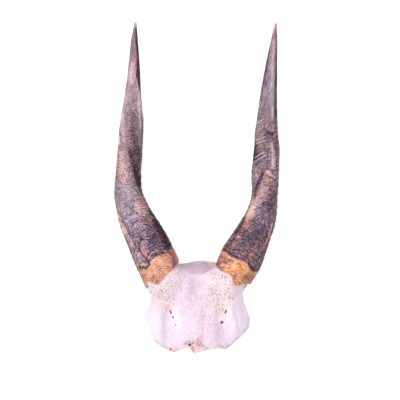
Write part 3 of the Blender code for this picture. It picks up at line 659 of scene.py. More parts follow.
# relief in mm and the masks for the colours, from the marks and from noise over the skin
def hornRelief(horn, skin, plain, facing, t, place, rimShare, length):
    def noise(key, size=1.0):
        return mixedBumps(skin / size, hornShape["noise"][key], horn["seed"])

    # the marks' outlines are made uneven first
    x, y = plain[:, 0], plain[:, 1]
    faced = ease(facing, *hornShape["frontFrom"])
    wobble = noise("wobble")
    orange = orangeShare(horn, x, y, place, wobble, faced)
    lower = 1 - ease(place, *hornShape["lowerEnds"])
    drift = 0.4 + 0.4 * lower
    driftX = x + drift * noise("driftX")
    driftY = y + drift * noise("driftY")
    masks = {key: np.clip(marksShare(driftX, driftY, horn[key]), 0, 1) * faced
             for key in ("mauveMarks", "warmMarks", "lavenderMarks", "greyMarks", "smoothMarks")}
    tone = marksShare(driftX, driftY, horn["toneAndShadingMarks"]) * faced
    for amount, pitch, slope, bend, run in horn["ticks"]:
        beside = x - run[0][0]
        phase = (y - slope * beside + bend * beside ** 2) / pitch + noise("tickSway")
        tick = ease(np.sin(2 * math.pi * phase), -0.2, 0.9) * np.clip(0.7 + noise("tickGaps"), 0, 1)
        tone -= amount * (tick - 0.4) * markShare(driftX, driftY, run) * faced
    nearX, nearY = x + 0.25 * wobble, y + 0.25 * wobble
    lines = marksShare(nearX, nearY, horn["paleLinesAndHighlights"]) * faced
    crack = np.clip(marksShare(nearX, nearY, horn["cracks"]), 0, 1) * faced

    # growth rings: uneven lines that part and join again, fainter towards the tip
    ringed = noise("rings", horn["ringSize"])
    ringLines = noise("ringLines", horn["ringSize"])
    crest = 0.5 * ease(ringed, -0.5, 0.55) + 0.5 * ease(np.abs(ringLines), 0.02, 0.3)
    cycle = skin[:, 2] / hornShape["ringPitch"] + noise("ringShift")
    evenRing = ease(np.abs(np.sin(math.pi * cycle)), 0.05, 0.55)
    crest += hornShape["ringEvenness"] * lower * (evenRing - crest)
    ringing = (0.5 + 0.5 * lower) * (1 - 0.85 * orange) * (1 - 0.7 * ease(place, *hornShape["upperFade"]))
    swell = np.cos(2 * math.pi * skin[:, 2] / hornShape["swellPitch"]) * lower * (1 - rimShare)

    # thin wavy lines in the orange base, and its thin rim, sunk a little and painted paler as light that
    # lifts the shade there
    wavy = np.abs(noise("baseLines"))
    baseLine = (1 - ease(wavy, 0.02, 0.2)) * orange * ease(noise("baseLineGaps"), -0.5, 0.3)
    thinRim = np.exp(-(t / hornShape["thinRimRun"]) ** 2)
    tone += hornShape["rimPaintedLight"] * thinRim
    relief = (hornShape["swellHeight"] * swell + hornShape["ringDepth"] * (crest - 0.6) * ringing
              + noise("fibres") * (0.4 + 0.6 * lower) * (1 - rimShare)
              + noise("broad") + noise("fine") * lower
              - hornShape["orangeDrop"] * orange - hornShape["crackDepth"] * crack
              + hornShape["lineHeight"] * lines - hornShape["baseLineDepth"] * baseLine
              - hornShape["thinRimDrop"] * thinRim + marksShare(x, y, horn["reliefRuns"]) * faced)
    for cx, cy, wide, long, height in horn["raised"]:
        relief += height * faced * (1 - ease(np.hypot((nearX - cx) / wide, (nearY - cy) / long), 0.86, 1.06))
    masks.update(orangeBase=orange, toneShift=tone, baseLine=baseLine, paleLine=lines, crackMark=crack,
                 brinkShare=np.exp(-((orange - 0.3) / 0.22) ** 2) * faced,
                 tipShare=ease(place, length - horn["tipRun"], length - 2),
                 crestShare=0.5 + (crest - 0.5) * ringing, alongShare=np.clip(place / length, 0, 1))
    return relief, masks


# quads between rings of points, and a fan to the one point at each end
def tubeFaces(rings, count, flipped):
    faces = []
    for i in range(rings - 1):
        for j in range(count):
            k = (j + 1) % count
            faces.append((i * count + j, i * count + k, (i + 1) * count + k, (i + 1) * count + j))
    last = (rings - 1) * count
    for j in range(count):
        k = (j + 1) % count
        faces.append((rings * count, k, j))
        faces.append((last + j, last + k, rings * count + 1))
    return [face[::-1] for face in faces] if flipped else faces


def makeHorn(horn, move):
    rows = hornRows(horn)
    length = rows[-1, 0]
    count = hornShape["columns"]
    ringedRows = np.arange(hornShape["ringedRows"]) * hornShape["ringedLength"] / hornShape["ringedRows"]
    upperRows = np.linspace(hornShape["ringedLength"], length, hornShape["upperRows"])
    dome = hornShape["tipDome"]
    outerPlaces = np.concatenate([ringedRows, upperRows, np.full(len(dome), length)])
    outerRim = np.maximum(0, 1 - outerPlaces / hornShape["rimRun"])
    t, rimShare, offset, angle, place = rimPlaces(horn, length, outerPlaces, outerRim, 0)
    plain, outward, middle, up, wide = hornSurface(horn, rows, offset, place, outerStrength, 0)
    skin = barPlaces(offset, place + ringLift(horn, place, offset, angle))
    relief, masks = hornRelief(horn, skin, plain, outward[:, 2], t, place, rimShare, length)
    relief += flakeLift(horn, angle, place)
    relief *= np.minimum(1, wide[:, 0] / hornShape["fullReliefWidth"])
    shrink = np.repeat(np.concatenate([np.ones(len(ringedRows) + len(upperRows)), dome]), count)[:, None]
    points = middle + (plain - middle) * shrink + outward * relief[:, None] * shrink
    points += up * np.sqrt(np.maximum(0, 1 - shrink ** 2)) * np.where(shrink < 1, 0.95, 0)

    # socket wall, from the roof of the socket down to the rim
    top = hornShape["socketTop"]
    socketPlaces = np.linspace(top, 0, hornShape["socketRows"])
    _, _, inOffset, inAngle, inPlace = rimPlaces(horn, length, socketPlaces, 1 - socketPlaces / top,
                                                 hornShape["rimInset"])
    inner, inOutward, _, _, _ = hornSurface(horn, rows, inOffset, inPlace, socketStrength, hornShape["wall"])
    inner += inOutward * flakeLift(horn, inAngle, inPlace)[:, None]
    tipMiddle, _, _, tipUp, _, _ = hornAt(horn, length)
    allPoints = np.concatenate([inner, points, [hornAt(horn, top)[0], tipMiddle + tipUp * 0.98]])
    low, high = [np.array(corner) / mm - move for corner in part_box(horn["node"])]
    faces = tubeFaces(len(socketPlaces) + len(outerPlaces), count, horn["side"] > 0)
    piece = meshPiece(horn["name"], np.clip(allPoints, low, high), faces, move)
    ends = [[0, 0, top], [0, 0, length]]
    storePlace(piece.data, "skin", np.concatenate([barPlaces(inOffset, inPlace), skin, ends]))
    for key, values in masks.items():
        start = np.full(len(inner), float(key == "orangeBase"))
        end = np.full(2, float(key == "tipShare"))
        storeShare(piece.data, key, np.concatenate([start, values, end]))
    return piece


print("shape helpers ready")
boneShape = {
    # fineness of the mesh
    "voxel": 0.8,
    "fineFrom": 0.2,
    "smoothing": 5,
    # place from the nasal edge and height of the middle line
    "midline": [
        (0, 65.5), (12, 63), (30, 58.5), (50, 52), (66, 47), (74, 44.5), (78, 41.5), (82, 31), (86.5, 15),
        (91, 2),
    ],
    "rearEnd": 91.0,
    "crownLag": 9.0,
    "crownDrop": 9.5,
    "crownHalfWidth": 50.0,
    "pedicleBlend": 15.0,
    # rounded forms: x, y, spread in x, spread in y, height
    "forms": [
        (-31, 70, 17, 20, 6), (31, 70, 17, 20, 6), (-40, 33, 11, 15, 3.2), (41, 33, 11, 15, 3.2),
        (-11, 14, 8, 13, 1.6), (13, 14, 8, 13, 1.6), (-32, 34, 4, 12, -2.4), (-28, 17, 4, 10, -2.0),
        (21.5, 33, 4, 12, -2.2), (23.5, 16, 4, 10, -2.0), (5, 32, 3.5, 12, -1.4), (1, 60, 9, 10, -1.0),
    ],
    # fuller between the forehead and the feet of the horns, in the same form
    "fills": [(-10, 66, 8, 15, 3.0), (10, 66, 8, 15, 3.0), (-38, 50, 15, 9, 3.2), (40, 51, 14, 9, 3.4)],
    "skirtSlope": 1.4,
    "pedicleInset": 2.0,
    # place along the foot of the horn and its share of the full width
    "pedicleFoot": [(-18, 0.1), (-12, 0.5), (-7, 0.76), (-3, 0.91), (2, 1), (17, 1), (33.2, 0.97)],
    "sawRear": 90.0,
    "sawAngle": math.radians(33.7),
    # nerve holes: x, y, half width, half length, depth, lean
    "foramina": [
        (-26.6, 40.4, 1.0, 2.4, 1.3, 0.42), (-24.2, 35.5, 1.1, 1.2, 1.0, 0),
        (28.1, 40.9, 1.0, 1.9, 1.3, -0.35), (24.4, 30.2, 1.5, 1.5, 1.2, 0),
        (-7.4, 8.2, 1.9, 0.9, 1.2, 0.3), (-15.2, 30, 0.6, 0.9, 0.7, 0), (-21.5, 28, 1.3, 0.7, 0.8, 0),
        (21.9, 43.4, 0.6, 1.2, 0.9, 0.3),
    ],
    # raised lips: height, then x, y and half width
    "lips": [
        (0.7, [(23.2, 27.4, 1.0), (25.6, 27.4, 1.2), (27, 29, 0.9)]),
        (0.4, [(-23, 30.5, 1.5), (-19.5, 27, 1.6)]),
    ],
    # porous bone: x, y, spread in x, spread in y, share
    "porous": [
        (-21, 78, 7, 8, 0.95), (-27, 70, 8, 9, 1.0), (-34, 60, 8, 10, 0.95), (-30, 52, 8, 9, 0.85),
        (-40, 67, 7, 7, 0.45), (-25, 42, 5, 8, 0.45), (24, 74, 9, 9, 1.0), (16, 76, 6, 8, 0.9),
        (29, 60, 9, 14, 1.0), (19, 62, 10, 14, 0.9), (22, 46, 9, 9, 0.8), (12, 50, 7, 12, 0.6),
        (0, 56, 16, 20, 0.42), (0, 10, 60, 22, 0.16), (-43, 52, 7, 9, 0.35), (0, 28, 16, 20, 0.26),
        (36, 70, 8, 8, 0.6), (-14, 84, 5, 6, 0.5), (20, 84, 5, 6, 0.5), (10, 34, 6, 14, 0.45),
    ],
    "stains": [
        (-35, 50, 6, 8, 0.8), (-31, 44, 4, 6, 0.6), (34, 66, 7, 6, 0.5), (31, 56, 7, 9, 0.4),
        (24, 43, 5, 6, 0.6), (-31, 64, 6, 7, 0.3), (14.5, 66, 3, 5, 0.4), (9, 57, 3, 4, 0.5),
        (27, 40, 2.5, 5, 0.7), (25.5, 31, 3, 3, 0.4),
    ],
    # reddish and chipped places, in the same form as the lips
    "blush": [
        (0.9, [(1.4, 16.4, 1.3), (4.8, 16.3, 1.5)]), (0.6, [(2, 14.5, 1.0), (0.5, 12, 1.2)]),
        (0.7, [(1, 8, 2.0), (5, 6, 2.2)]), (0.5, [(-7, 5.5, 1.5), (-4.5, 2.5, 1.5)]),
    ],
    "chips": [(1.0, [(49.2, 65.8, 0.9), (48.8, 63.4, 0.8)])],
    # broken edge at the nose: x, y, spread in x, spread in y, share
    "crumbled": [
        (-10, 10, 3, 3, 0.7), (-3, 7.5, 6.5, 5, 1.0), (3, 13, 2.4, 2.4, 0.4), (7.5, 4, 3.5, 2.4, 0.6),
        (-26, 3.2, 7, 2.2, 0.8),
    ],
    "sutures": [
        (1.0, [(-12.5, 9, 0.8), (-9.8, 11.8, 0.9), (-3.5, 11.5, 0.6), (-0.5, 12, 0.7), (1, 14.5, 0.7)]),
        (0.9, [(0.5, 12.5, 0.8), (2.5, 11.5, 0.8), (4.2, 8.8, 0.7), (6.5, 7.4, 0.5)]),
        (0.5, [(6.5, 5.5, 0.5), (8.5, 3.8, 0.6), (10.5, 2.8, 0.6)]),
        (0.9, [(-5, 6.5, 0.8), (-4, 2.5, 0.9), (-3.2, 0.5, 0.8)]),
        (0.8, [(-22, 3.4, 0.6), (-18.5, 2.6, 0.6)]), (0.6, [(22, 7.3, 0.6), (26.5, 6, 0.6)]),
        (1.0, [(28.5, 72, 0.5), (27.5, 76, 0.5)]), (1.0, [(49, 65.5, 0.5), (51, 63, 0.5)]),
        (0.8, [(21.5, 7.5, 0.7), (25, 6.6, 0.7)]),
    ],
    # whiter places: painted light on lit ridges, bulges and lips, and painted light that lifts shaded slopes,
    # in the same form
    "bright": [
        (-19.5, 29, 4.5, 8, 0.8), (-21.5, 38, 3.6, 8, 0.9), (31, 38, 3, 9, 0.8), (-21, 62, 4, 7, 0.45),
        (43, 62, 5, 5, 0.5), (25.8, 27.6, 1.8, 1.5, 1.0), (-5, 26, 7, 9, 0.3), (34, 26, 4, 9, 0.5),
        (-22, 76, 10, 10, 0.35), (-30, 66, 10, 8, 0.4), (14, 70, 7, 8, 0.4), (28, 62, 8, 14, 0.75),
        (-42, 30, 8, 14, 0.5), (44, 26, 5, 12, 0.3),
    ],
    # shallow grooves, which are also painted with shade, and the thin broken rims, in the same form as the
    # sutures
    "grooves": [
        (0.7, [(5.2, 12, 1.2), (5.8, 22, 1.6), (6, 32, 1.6), (5, 46, 1.4)]),
        (0.9, [(-33.5, 8, 2.2), (-33, 22, 2.6), (-31.5, 36, 2.2), (-29, 46, 1.4)]),
        (0.9, [(30, 6, 2.2), (25.5, 16, 2.6), (23, 28, 2.2)]), (0.5, [(-5, 70, 4), (6, 68, 4)]),
        (0.6, [(42, 20, 2), (38, 34, 2.4), (36, 46, 2)]),
    ],
    "rims": [
        (1.0, [(47.8, 65.8, 0.7), (48.4, 63.2, 0.6)]),
        (0.8, [(-43, 14, 0.5), (-37, 8.5, 0.6), (-31, 4, 0.9), (-26, 1.8, 1.2)]),
        (0.8, [(50, 26, 0.4), (42, 17.5, 0.5), (34, 9.5, 0.6), (27, 4.6, 0.9)]),
        (0.7, [(-32, 3.8, 1.2), (-26, 1.4, 1.4), (-21, 2, 1.2)]), (0.4, [(-51, 40, 0.7), (-53, 34, 0.7)]),
    ],
    # front edge of the rear slope, which is painted grey as shade: x and y
    "rearEdge": [
        (-26, 112), (-18.5, 101), (-16.6, 92), (-15.9, 85.6), (-15.2, 83.2), (-13, 80.7), (-7.5, 77.7),
        (-0.8, 76.5), (5.8, 77.8), (11.7, 80.2), (15.5, 83), (17.5, 88), (19, 94), (26, 110),
    ],
    # pale rims of the rear slope, along the crest and the sawn top, partly the bone's own pale edge and
    # partly painted highlight; in the same form as the lips
    "rearRimsAndHighlights": [
        (0.5, [(-15.5, 83.6, 0.5), (-13, 80.7, 0.6), (-7.5, 77.7, 0.7), (-0.8, 76.5, 0.7),
            (5.8, 77.8, 0.6), (11.7, 80.2, 0.5)]),
        (0.8, [(-15, 89.3, 0.8), (-3, 90.7, 1.3), (4, 90.8, 1.0), (9, 90.5, 0.9), (14, 89, 0.9)]),
        (0.45, [(-14, 86, 2.0), (-10, 84, 2.0)]), (0.5, [(12, 89, 1.2), (15, 87, 1.4)]),
    ],
    # places moved to the drawn outline: x, y, spread in x, spread in y, and the move
    "pulls": [
        (0, -1, 60, 13, 0, 1.3), (39, 10, 9, 9, -0.9, 0.4), (-12, 91, 9, 8, 0, -1.9),
        (-36, 6, 8, 8, 0.4, 0.4),
    ],
    # relief in mm
    "unevenness": 0.24,
    "rayHeight": 0.34,
    "foldHeight": 0.35,
    "pitDepth": 0.5,
    "deepPitDepth": 0.35,
    "sutureDepth": 0.3,
    "grooveDepth": 0.55,
    "spongeDepth": 0.7,
    # hollow of the braincase
    "hollowMiddle": (0, 56, 3),
    "hollowSize": (27, 28, 35.5),
    # sums of bumps: the weight, the size in mm and the draw of each
    "noise": {
        "grain": [(0.13, (0.8, 7, 0.8), 31)],
        "pits": [(0.9, (1.1, 1.7, 1.5), 32), (0.5, (0.7, 0.9, 0.9), 33)],
        "deepPits": [(1.0, (1.3, 2.0, 1.7), 34)],
        "sponge": [(1.0, 1.3, 35), (0.4, 0.8, 36)],
        "folds": [(1.0, 7.5, 37), (0.4, 3.2, 38)],
        "lumps": [(1.0, (2.4, 2.0, 2.4), 39), (0.5, (1.2, 1.0, 1.2), 41)],
        "uneven": [(1.0, 8, 40), (0.45, 3.6, 42)],
        "sutureGaps": [(0.9, 1.1, 43)],
        # front edge of the rear slope, which is painted grey as shade: x and y
        "rearEdge": [(0.3, 1.5, 44)],
    },
    # depth to which the solid's nerve holes are filled up
    "drilled": 5.5,
}


# a rounded spot from 0 to 1
def roundSpot(x, y, middleX, middleY, spreadX, spreadY):
    return np.exp(-((x - middleX) / spreadX) ** 2 - ((y - middleY) / spreadY) ** 2)


# height of the outer face; fuller adds what the solid's face leaves out
def capHeight(x, y, horns, fuller):
    end = boneShape["rearEnd"]
    toRear = np.clip((end - y) / 21, 0, 1)
    lag = boneShape["crownLag"] * np.minimum(1, (x / 18) ** 2)
    lag = lag * np.clip(np.minimum((y - 52) / 30, (end - y) / 8), 0, 1)
    z = throughRows(boneShape["midline"], y - lag)[:, 0]
    z -= boneShape["crownDrop"] * (np.abs(x) / boneShape["crownHalfWidth"]) ** 2.2
    for *spot, height in boneShape["forms"] + (boneShape["fills"] if fuller else []):
        z += height * roundSpot(x, y, *spot) * toRear
    blend = boneShape["pedicleBlend"]
    skirt = boneShape["skirtSlope"] + 5 * ease(y, 78, 86)
    for horn in horns:
        middle, inward, _, up, wide, deep = hornAt(horn, 0.0)
        flat = up[:2] / np.linalg.norm(up[:2])
        t = (x - middle[0]) * flat[0] + (y - middle[1]) * flat[1]
        across = (x - middle[0]) * inward[0] + (y - middle[1]) * inward[1]
        taper = betweenRows(boneShape["pedicleFoot"], t)
        reach = np.abs(across) / ((wide[0] - boneShape["pedicleInset"]) * taper)
        rounded = np.sqrt(np.maximum(1 - reach ** 2, 0))
        if fuller:
            sloped = 0.527 - skirt * (reach - 0.85)
            rounded = np.where(reach > 0.85, np.maximum(rounded, sloped), rounded)
            rounded = np.where(reach > 1, sloped, rounded)
        stub = middle[2] + t * up[2] / np.linalg.norm(up[:2])
        stub += (deep[0] - boneShape["pedicleInset"]) * taper * rounded
        if not fuller:
            stub = np.where(reach < 1, stub, -1000)
        near = np.maximum(blend - np.abs(z - stub), 0) / blend
        z = np.maximum(z, stub) + near * near * blend / 4
    return z


def spotShare(x, y, spots):
    share = np.zeros(len(x))
    for *spot, height in spots:
        share = np.maximum(share, height * roundSpot(x, y, *spot))
    return share


def readRows(items, kind):
    rows = np.zeros(len(items) * 3, dtype=np.float32)
    items.foreach_get(kind, rows)
    return rows.reshape(-1, 3).astype(float)


# fine ridges of bone that fan out from the foot of each horn
def rayGrain(points, horns):
    total = np.zeros(len(points))
    for horn in horns:
        footX, footY = horn["axis"][0][:2]
        dx, dy = points[:, 0] - footX, points[:, 1] - footY - 8
        reach = np.hypot(dx, dy)
        fan = np.stack([20 * np.arctan2(dx, -dy), reach, np.zeros(len(points))], axis=1)
        near = (1 - ease(reach, 34, 52)) * (dx * horn["side"] > -28)
        total += bumps(fan, (0.85, 6, 1), horn["seed"] + 30) * near
    return total


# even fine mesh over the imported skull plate
def remeshedBone(name):
    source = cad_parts["skull_plate"]
    mesh = source.data.copy()
    mesh.materials.clear()
    piece = bpy.data.objects.new(name, mesh)
    bpy.context.scene.collection.objects.link(piece)
    weld = piece.modifiers.new("joinSeams", "WELD")
    weld.merge_threshold = 1e-6
    remesh = piece.modifiers.new("evenMesh", "REMESH")
    remesh.mode = "VOXEL"
    remesh.voxel_size = boneShape["voxel"] * mm
    smooth = piece.modifiers.new("softEdges", "SMOOTH")
    smooth.factor = 0.5
    smooth.iterations = boneShape["smoothing"]
    depsgraph = bpy.context.evaluated_depsgraph_get()
    finished = bpy.data.meshes.new_from_object(piece.evaluated_get(depsgraph))
    piece.modifiers.clear()
    piece.data = finished
    finished.name = name
    return piece


# fits the drawn outer face, which takes the facets out and is a little fuller than the solid's face
def fitCap(mesh, move, horns):
    points = readRows(mesh.vertices, "co") / mm - move
    normals = readRows(mesh.vertex_normals, "vector")
    x, y, z = points.T.copy()
    fitted = capHeight(x, y, horns, False)
    slopeX = 2 * (capHeight(x + 0.5, y, horns, False) - fitted)
    slopeY = 2 * (capHeight(x, y + 0.5, horns, False) - fitted)
    slope = np.minimum(np.hypot(slopeX, slopeY), 4)
    outer = capHeight(x, y, horns, True)
    sheathed = np.zeros(len(points))
    for horn in horns:
        middle, _, _, up, _, _ = hornAt(horn, 0.0)
        sheathed = np.maximum(sheathed, ease((points - middle) @ up, 8, 14))
    close = ease(-np.abs(z - fitted) / np.sqrt(1 + slope ** 2), -3.4, -2.4)
    feet = [(fx, fy, 1.3 * wide, 1.3 * long, 1) for fx, fy, wide, long, _ in boneShape["fills"]]
    z += (outer - z) * ease(normals[:, 2] + 0.9 * spotShare(x, y, feet), 0.35, 0.6) * close * (1 - sheathed)

    # the drilled nerve holes are filled up to the depth that is drawn
    for hx, hy, wide, long, deep, _ in boneShape["foramina"]:
        inside = np.hypot((x - hx) / (wide + 1), (y - hy) / (long + 1)) < 1.3
        sunk = outer - z
        z = np.where(inside & (sunk > deep) & (sunk < boneShape["drilled"]), outer - deep, z)
    points = np.stack([x, y, z], axis=1)
    for *spot, alongX, alongY in boneShape["pulls"]:
        share = roundSpot(x, y, *spot)
        points[:, 0] += alongX * share
        points[:, 1] += alongY * share
    mesh.vertices.foreach_set("co", (points + move).ravel() * mm)
    return points


# finer mesh where the outer face is porous, broken or creased
def refineBone(mesh, points):
    x, y, z = points.T
    marked = spotShare(x, y, boneShape["porous"] + boneShape["crumbled"])
    marked = np.maximum(marked, marksShare(x, y, boneShape["rims"] + boneShape["sutures"]))
    fineAt = (marked > boneShape["fineFrom"]) & (y < 84) & (z > 30)
    bm = bmesh.new()
    bm.from_mesh(mesh)
    fine = [edge for edge in bm.edges if edge.calc_face_angle(1) < 1.2 and all(
        vert.normal.z > 0.25 and fineAt[vert.index] for vert in edge.verts)]
    bmesh.ops.subdivide_edges(bm, edges=fine, cuts=1, use_grid_fill=True)
    bm.to_mesh(mesh)
    bm.free()
    mesh.update()


# places with the fine relief on them, and the masks for the colours
def boneRelief(points, normals, horns):
    x, y, z = points.T
    facing = normals[:, 2]
    top = ease(facing, 0.2, 0.5)

    def noise(key):
        return mixedBumps(points, boneShape["noise"][key])

    def marked(key):
        return np.clip(marksShare(x, y, boneShape[key]), 0, 1)

    sine, cosine = math.sin(boneShape["sawAngle"]), math.cos(boneShape["sawAngle"])
    fromCut = np.abs(z * cosine - (boneShape["sawRear"] - y) * sine)
    sawn = ease(normals @ np.array([0, -sine, -cosine]), 0.9, 0.97) * ease(-fromCut, -0.9, -0.4)
    porous = spotShare(x, y, boneShape["porous"]) * top
    crumbled = spotShare(x, y, boneShape["crumbled"]) * ease(facing, -0.6, 0.2) * ease(z, 40, 50)
    rays = rayGrain(points, horns)
    drawnPits = noise("pits") + 0.5 * rays
    pit = ease(drawnPits - (0.56 - 0.5 * porous), 0.0, 0.6) * ease(porous, 0.08, 0.3)
    deepPit = ease(noise("deepPits"), 0.55, 0.85) * ease(porous, 0.5, 0.9)
    spongy = ease(noise("sponge"), 0.05, 0.4) * sawn
    lumps = noise("lumps")
    uneven = noise("uneven")
    suture = marked("sutures") * top * np.clip(0.6 + noise("sutureGaps"), 0, 1)
    groove = marked("grooves") * top
    fromMiddle = (points - boneShape["hollowMiddle"]) / boneShape["hollowSize"]
    hollow = ease(-facing, 0.0, 0.3) * (np.sum(fromMiddle ** 2, axis=1) < 1.15)
    rearEdge = betweenRows(boneShape["rearEdge"], x + noise("rearEdge"))
    # the steep rear slope turns away from the light and is painted grey as shade, warmer on the right
    rear = ease(normals[:, 1], 0.3, 0.6) * ease(z, 4, 12) * ease(y - rearEdge, -0.3, 0.4)
    # whiter places painted as light
    bright = spotShare(x, y, boneShape["bright"]) * top
    lift = (boneShape["unevenness"] * uneven * top
            + noise("grain") * top * (0.5 + porous)
            + boneShape["rayHeight"] * rays * porous * top
            - boneShape["pitDepth"] * pit - boneShape["deepPitDepth"] * deepPit
            - boneShape["sutureDepth"] * suture - boneShape["spongeDepth"] * spongy
            - boneShape["grooveDepth"] * groove + marked("lips") * top
            + boneShape["foldHeight"] * noise("folds") * hollow
            + crumbled * (0.95 * lumps - 0.6 - 0.4 * pit) + 0.10 * lumps * rear)
    # the nerve holes and chips are darkened inside as painted shade
    hole = marked("chips") * ease(facing, -0.4, 0.0)
    for hx, hy, wide, long, deep, lean in boneShape["foramina"]:
        inside = np.hypot((x - hx + lean * (y - hy)) / wide, (y - hy) / long) + 0.2 * lumps
        share = 1 - ease(inside, 0.5, 1.2)
        hole = np.maximum(hole, share * min(1, deep / 1.1) * ease(z, 38, 42))
        lift += (0.15 * np.exp(-((inside - 1.6) / 0.4) ** 2) - 0.35 * deep * share) * top

    # the other masks follow the moved places
    points = points + normals * lift[:, None]
    x, y, z = points.T
    edge = ease(0.5 - facing, 0.0, 0.7) * ease(z, 42, 48) * (1 - sawn) * (y < 34)
    stain = np.clip(spotShare(x, y, boneShape["stains"]) + 0.25 * uneven, 0, 1) * top
    masks = {"pitShadeAndStainShare": pit, "deepPitShadeShare": deepPit, "blushShare": marked("blush") * top,
             "porousShare": porous, "stainShare": stain, "paintedLightShare": bright, "crumbShare": crumbled,
             "creviceShade": crumbled * ease(-lumps, 0.1, 0.7), "holeShadeShare": hole, "sutureShare": suture,
             "grooveShadeShare": groove, "sawnShare": sawn, "spongeShare": spongy, "hollowShare": hollow,
             "rearShadeShare": rear, "rearShadeWarm": rear * ease(x, -2, 9), "rearRimAndHighlight": marked("rearRimsAndHighlights"),
             "edgeShare": np.clip(edge + marked("rims") * ease(z, 36, 42), 0, 1)}
    return points, masks


def makeBone(name, move, horns):
    piece = remeshedBone(name)
    mesh = piece.data
    refineBone(mesh, fitCap(mesh, move, horns))
    points = readRows(mesh.vertices, "co") / mm - move
    points, masks = boneRelief(points, readRows(mesh.vertex_normals, "vector"), horns)
    low, high = [np.array(corner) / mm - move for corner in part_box("skull_plate")]
    points = np.clip(points, low, high)
    mesh.vertices.foreach_set("co", (points + move).ravel() * mm)
    mesh.update()
    mesh.shade_smooth()
    storePlace(mesh, "skin", points)
    for key, values in masks.items():
        storeShare(mesh, key, values)
    return piece


# one node; sockets holds values or other nodes' outputs
def newNode(tree, kind, sockets=None, **settings):
    item = tree.nodes.new("ShaderNode" + kind)
    for key, value in settings.items():
        setattr(item, key, value)
    for key, value in (sockets or {}).items():
        if isinstance(value, bpy.types.NodeSocket):
            tree.links.new(value, item.inputs[key])
        else:
            item.inputs[key].default_value = value
    return item


def calc(tree, operation, first, second=0.0):
    return newNode(tree, "Math", {0: first, 1: second}, operation=operation).outputs[0]


def mixColour(tree, share, first, second):
    return newNode(tree, "Mix", {"Factor": share, 6: first, 7: second}, data_type="RGBA").outputs[2]


def attribute(tree, name, output="Fac"):
    return newNode(tree, "Attribute", attribute_name=name).outputs[output]


def spread(tree, value, low, high):
    return newNode(tree, "MapRange", {"Value": value, "From Min": low, "From Max": high},
                   interpolation_type="SMOOTHSTEP").outputs["Result"]


# streaky grain: places in mm come in, light and dark streaks and a height come out
def makeGrainGroup():
    tree = bpy.data.node_groups.new("streakyGrain", "ShaderNodeTree")
    for name, side, kind in (("Place", "INPUT", "Vector"), ("Streaks", "INPUT", "Vector"),
                             ("Contrast", "INPUT", "Float"), ("Mask", "OUTPUT", "Float"),
                             ("Height", "OUTPUT", "Float"), ("Cells", "OUTPUT", "Float")):
        tree.interface.new_socket(name, in_out=side, socket_type="NodeSocket" + kind)
    entry = tree.nodes.new("NodeGroupInput")
    leave = tree.nodes.new("NodeGroupOutput")
    drawn = newNode(tree, "VectorMath", {0: entry.outputs["Place"], 1: entry.outputs["Streaks"]},
                    operation="MULTIPLY").outputs[0]
    coarse = newNode(tree, "TexNoise", {"Vector": drawn, "Scale": 1.0, "Detail": 4.0, "Roughness": 0.62})
    fine = newNode(tree, "TexNoise", {"Vector": drawn, "Scale": 3.3, "Detail": 2.0, "Roughness": 0.5})
    total = calc(tree, "ADD", coarse.outputs["Fac"], calc(tree, "MULTIPLY", fine.outputs["Fac"], 0.4))
    centred = calc(tree, "SUBTRACT", total, 0.7)
    scaled = calc(tree, "MULTIPLY", centred, entry.outputs["Contrast"])
    mask = newNode(tree, "Clamp", {"Value": calc(tree, "ADD", scaled, 0.5)}).outputs[0]
    tree.links.new(mask, leave.inputs["Mask"])
    tree.links.new(total, leave.inputs["Height"])
    warped = newNode(tree, "VectorMath", {0: coarse.outputs["Color"], 1: (0.8, 0.8, 0.8), 2: drawn},
                     operation="MULTIPLY_ADD").outputs[0]
    cracked = newNode(tree, "TexVoronoi", {"Vector": warped, "Scale": 1.0}, feature="DISTANCE_TO_EDGE")
    tree.links.new(spread(tree, cracked.outputs["Distance"], 0.0, 0.24), leave.inputs["Cells"])
    return tree


# gives the group's outputs Mask, Height and Cells; streaks are the changes in a mm along each axis
def grain(tree, group, place, streaks, contrast):
    sockets = {"Place": place, "Streaks": streaks, "Contrast": contrast}
    return newNode(tree, "Group", sockets, node_tree=group).outputs


def blankMaterial(name):
    material = bpy.data.materials.new(name)
    material.use_nodes = True
    tree = material.node_tree
    return material, tree, tree.nodes["Principled BSDF"]


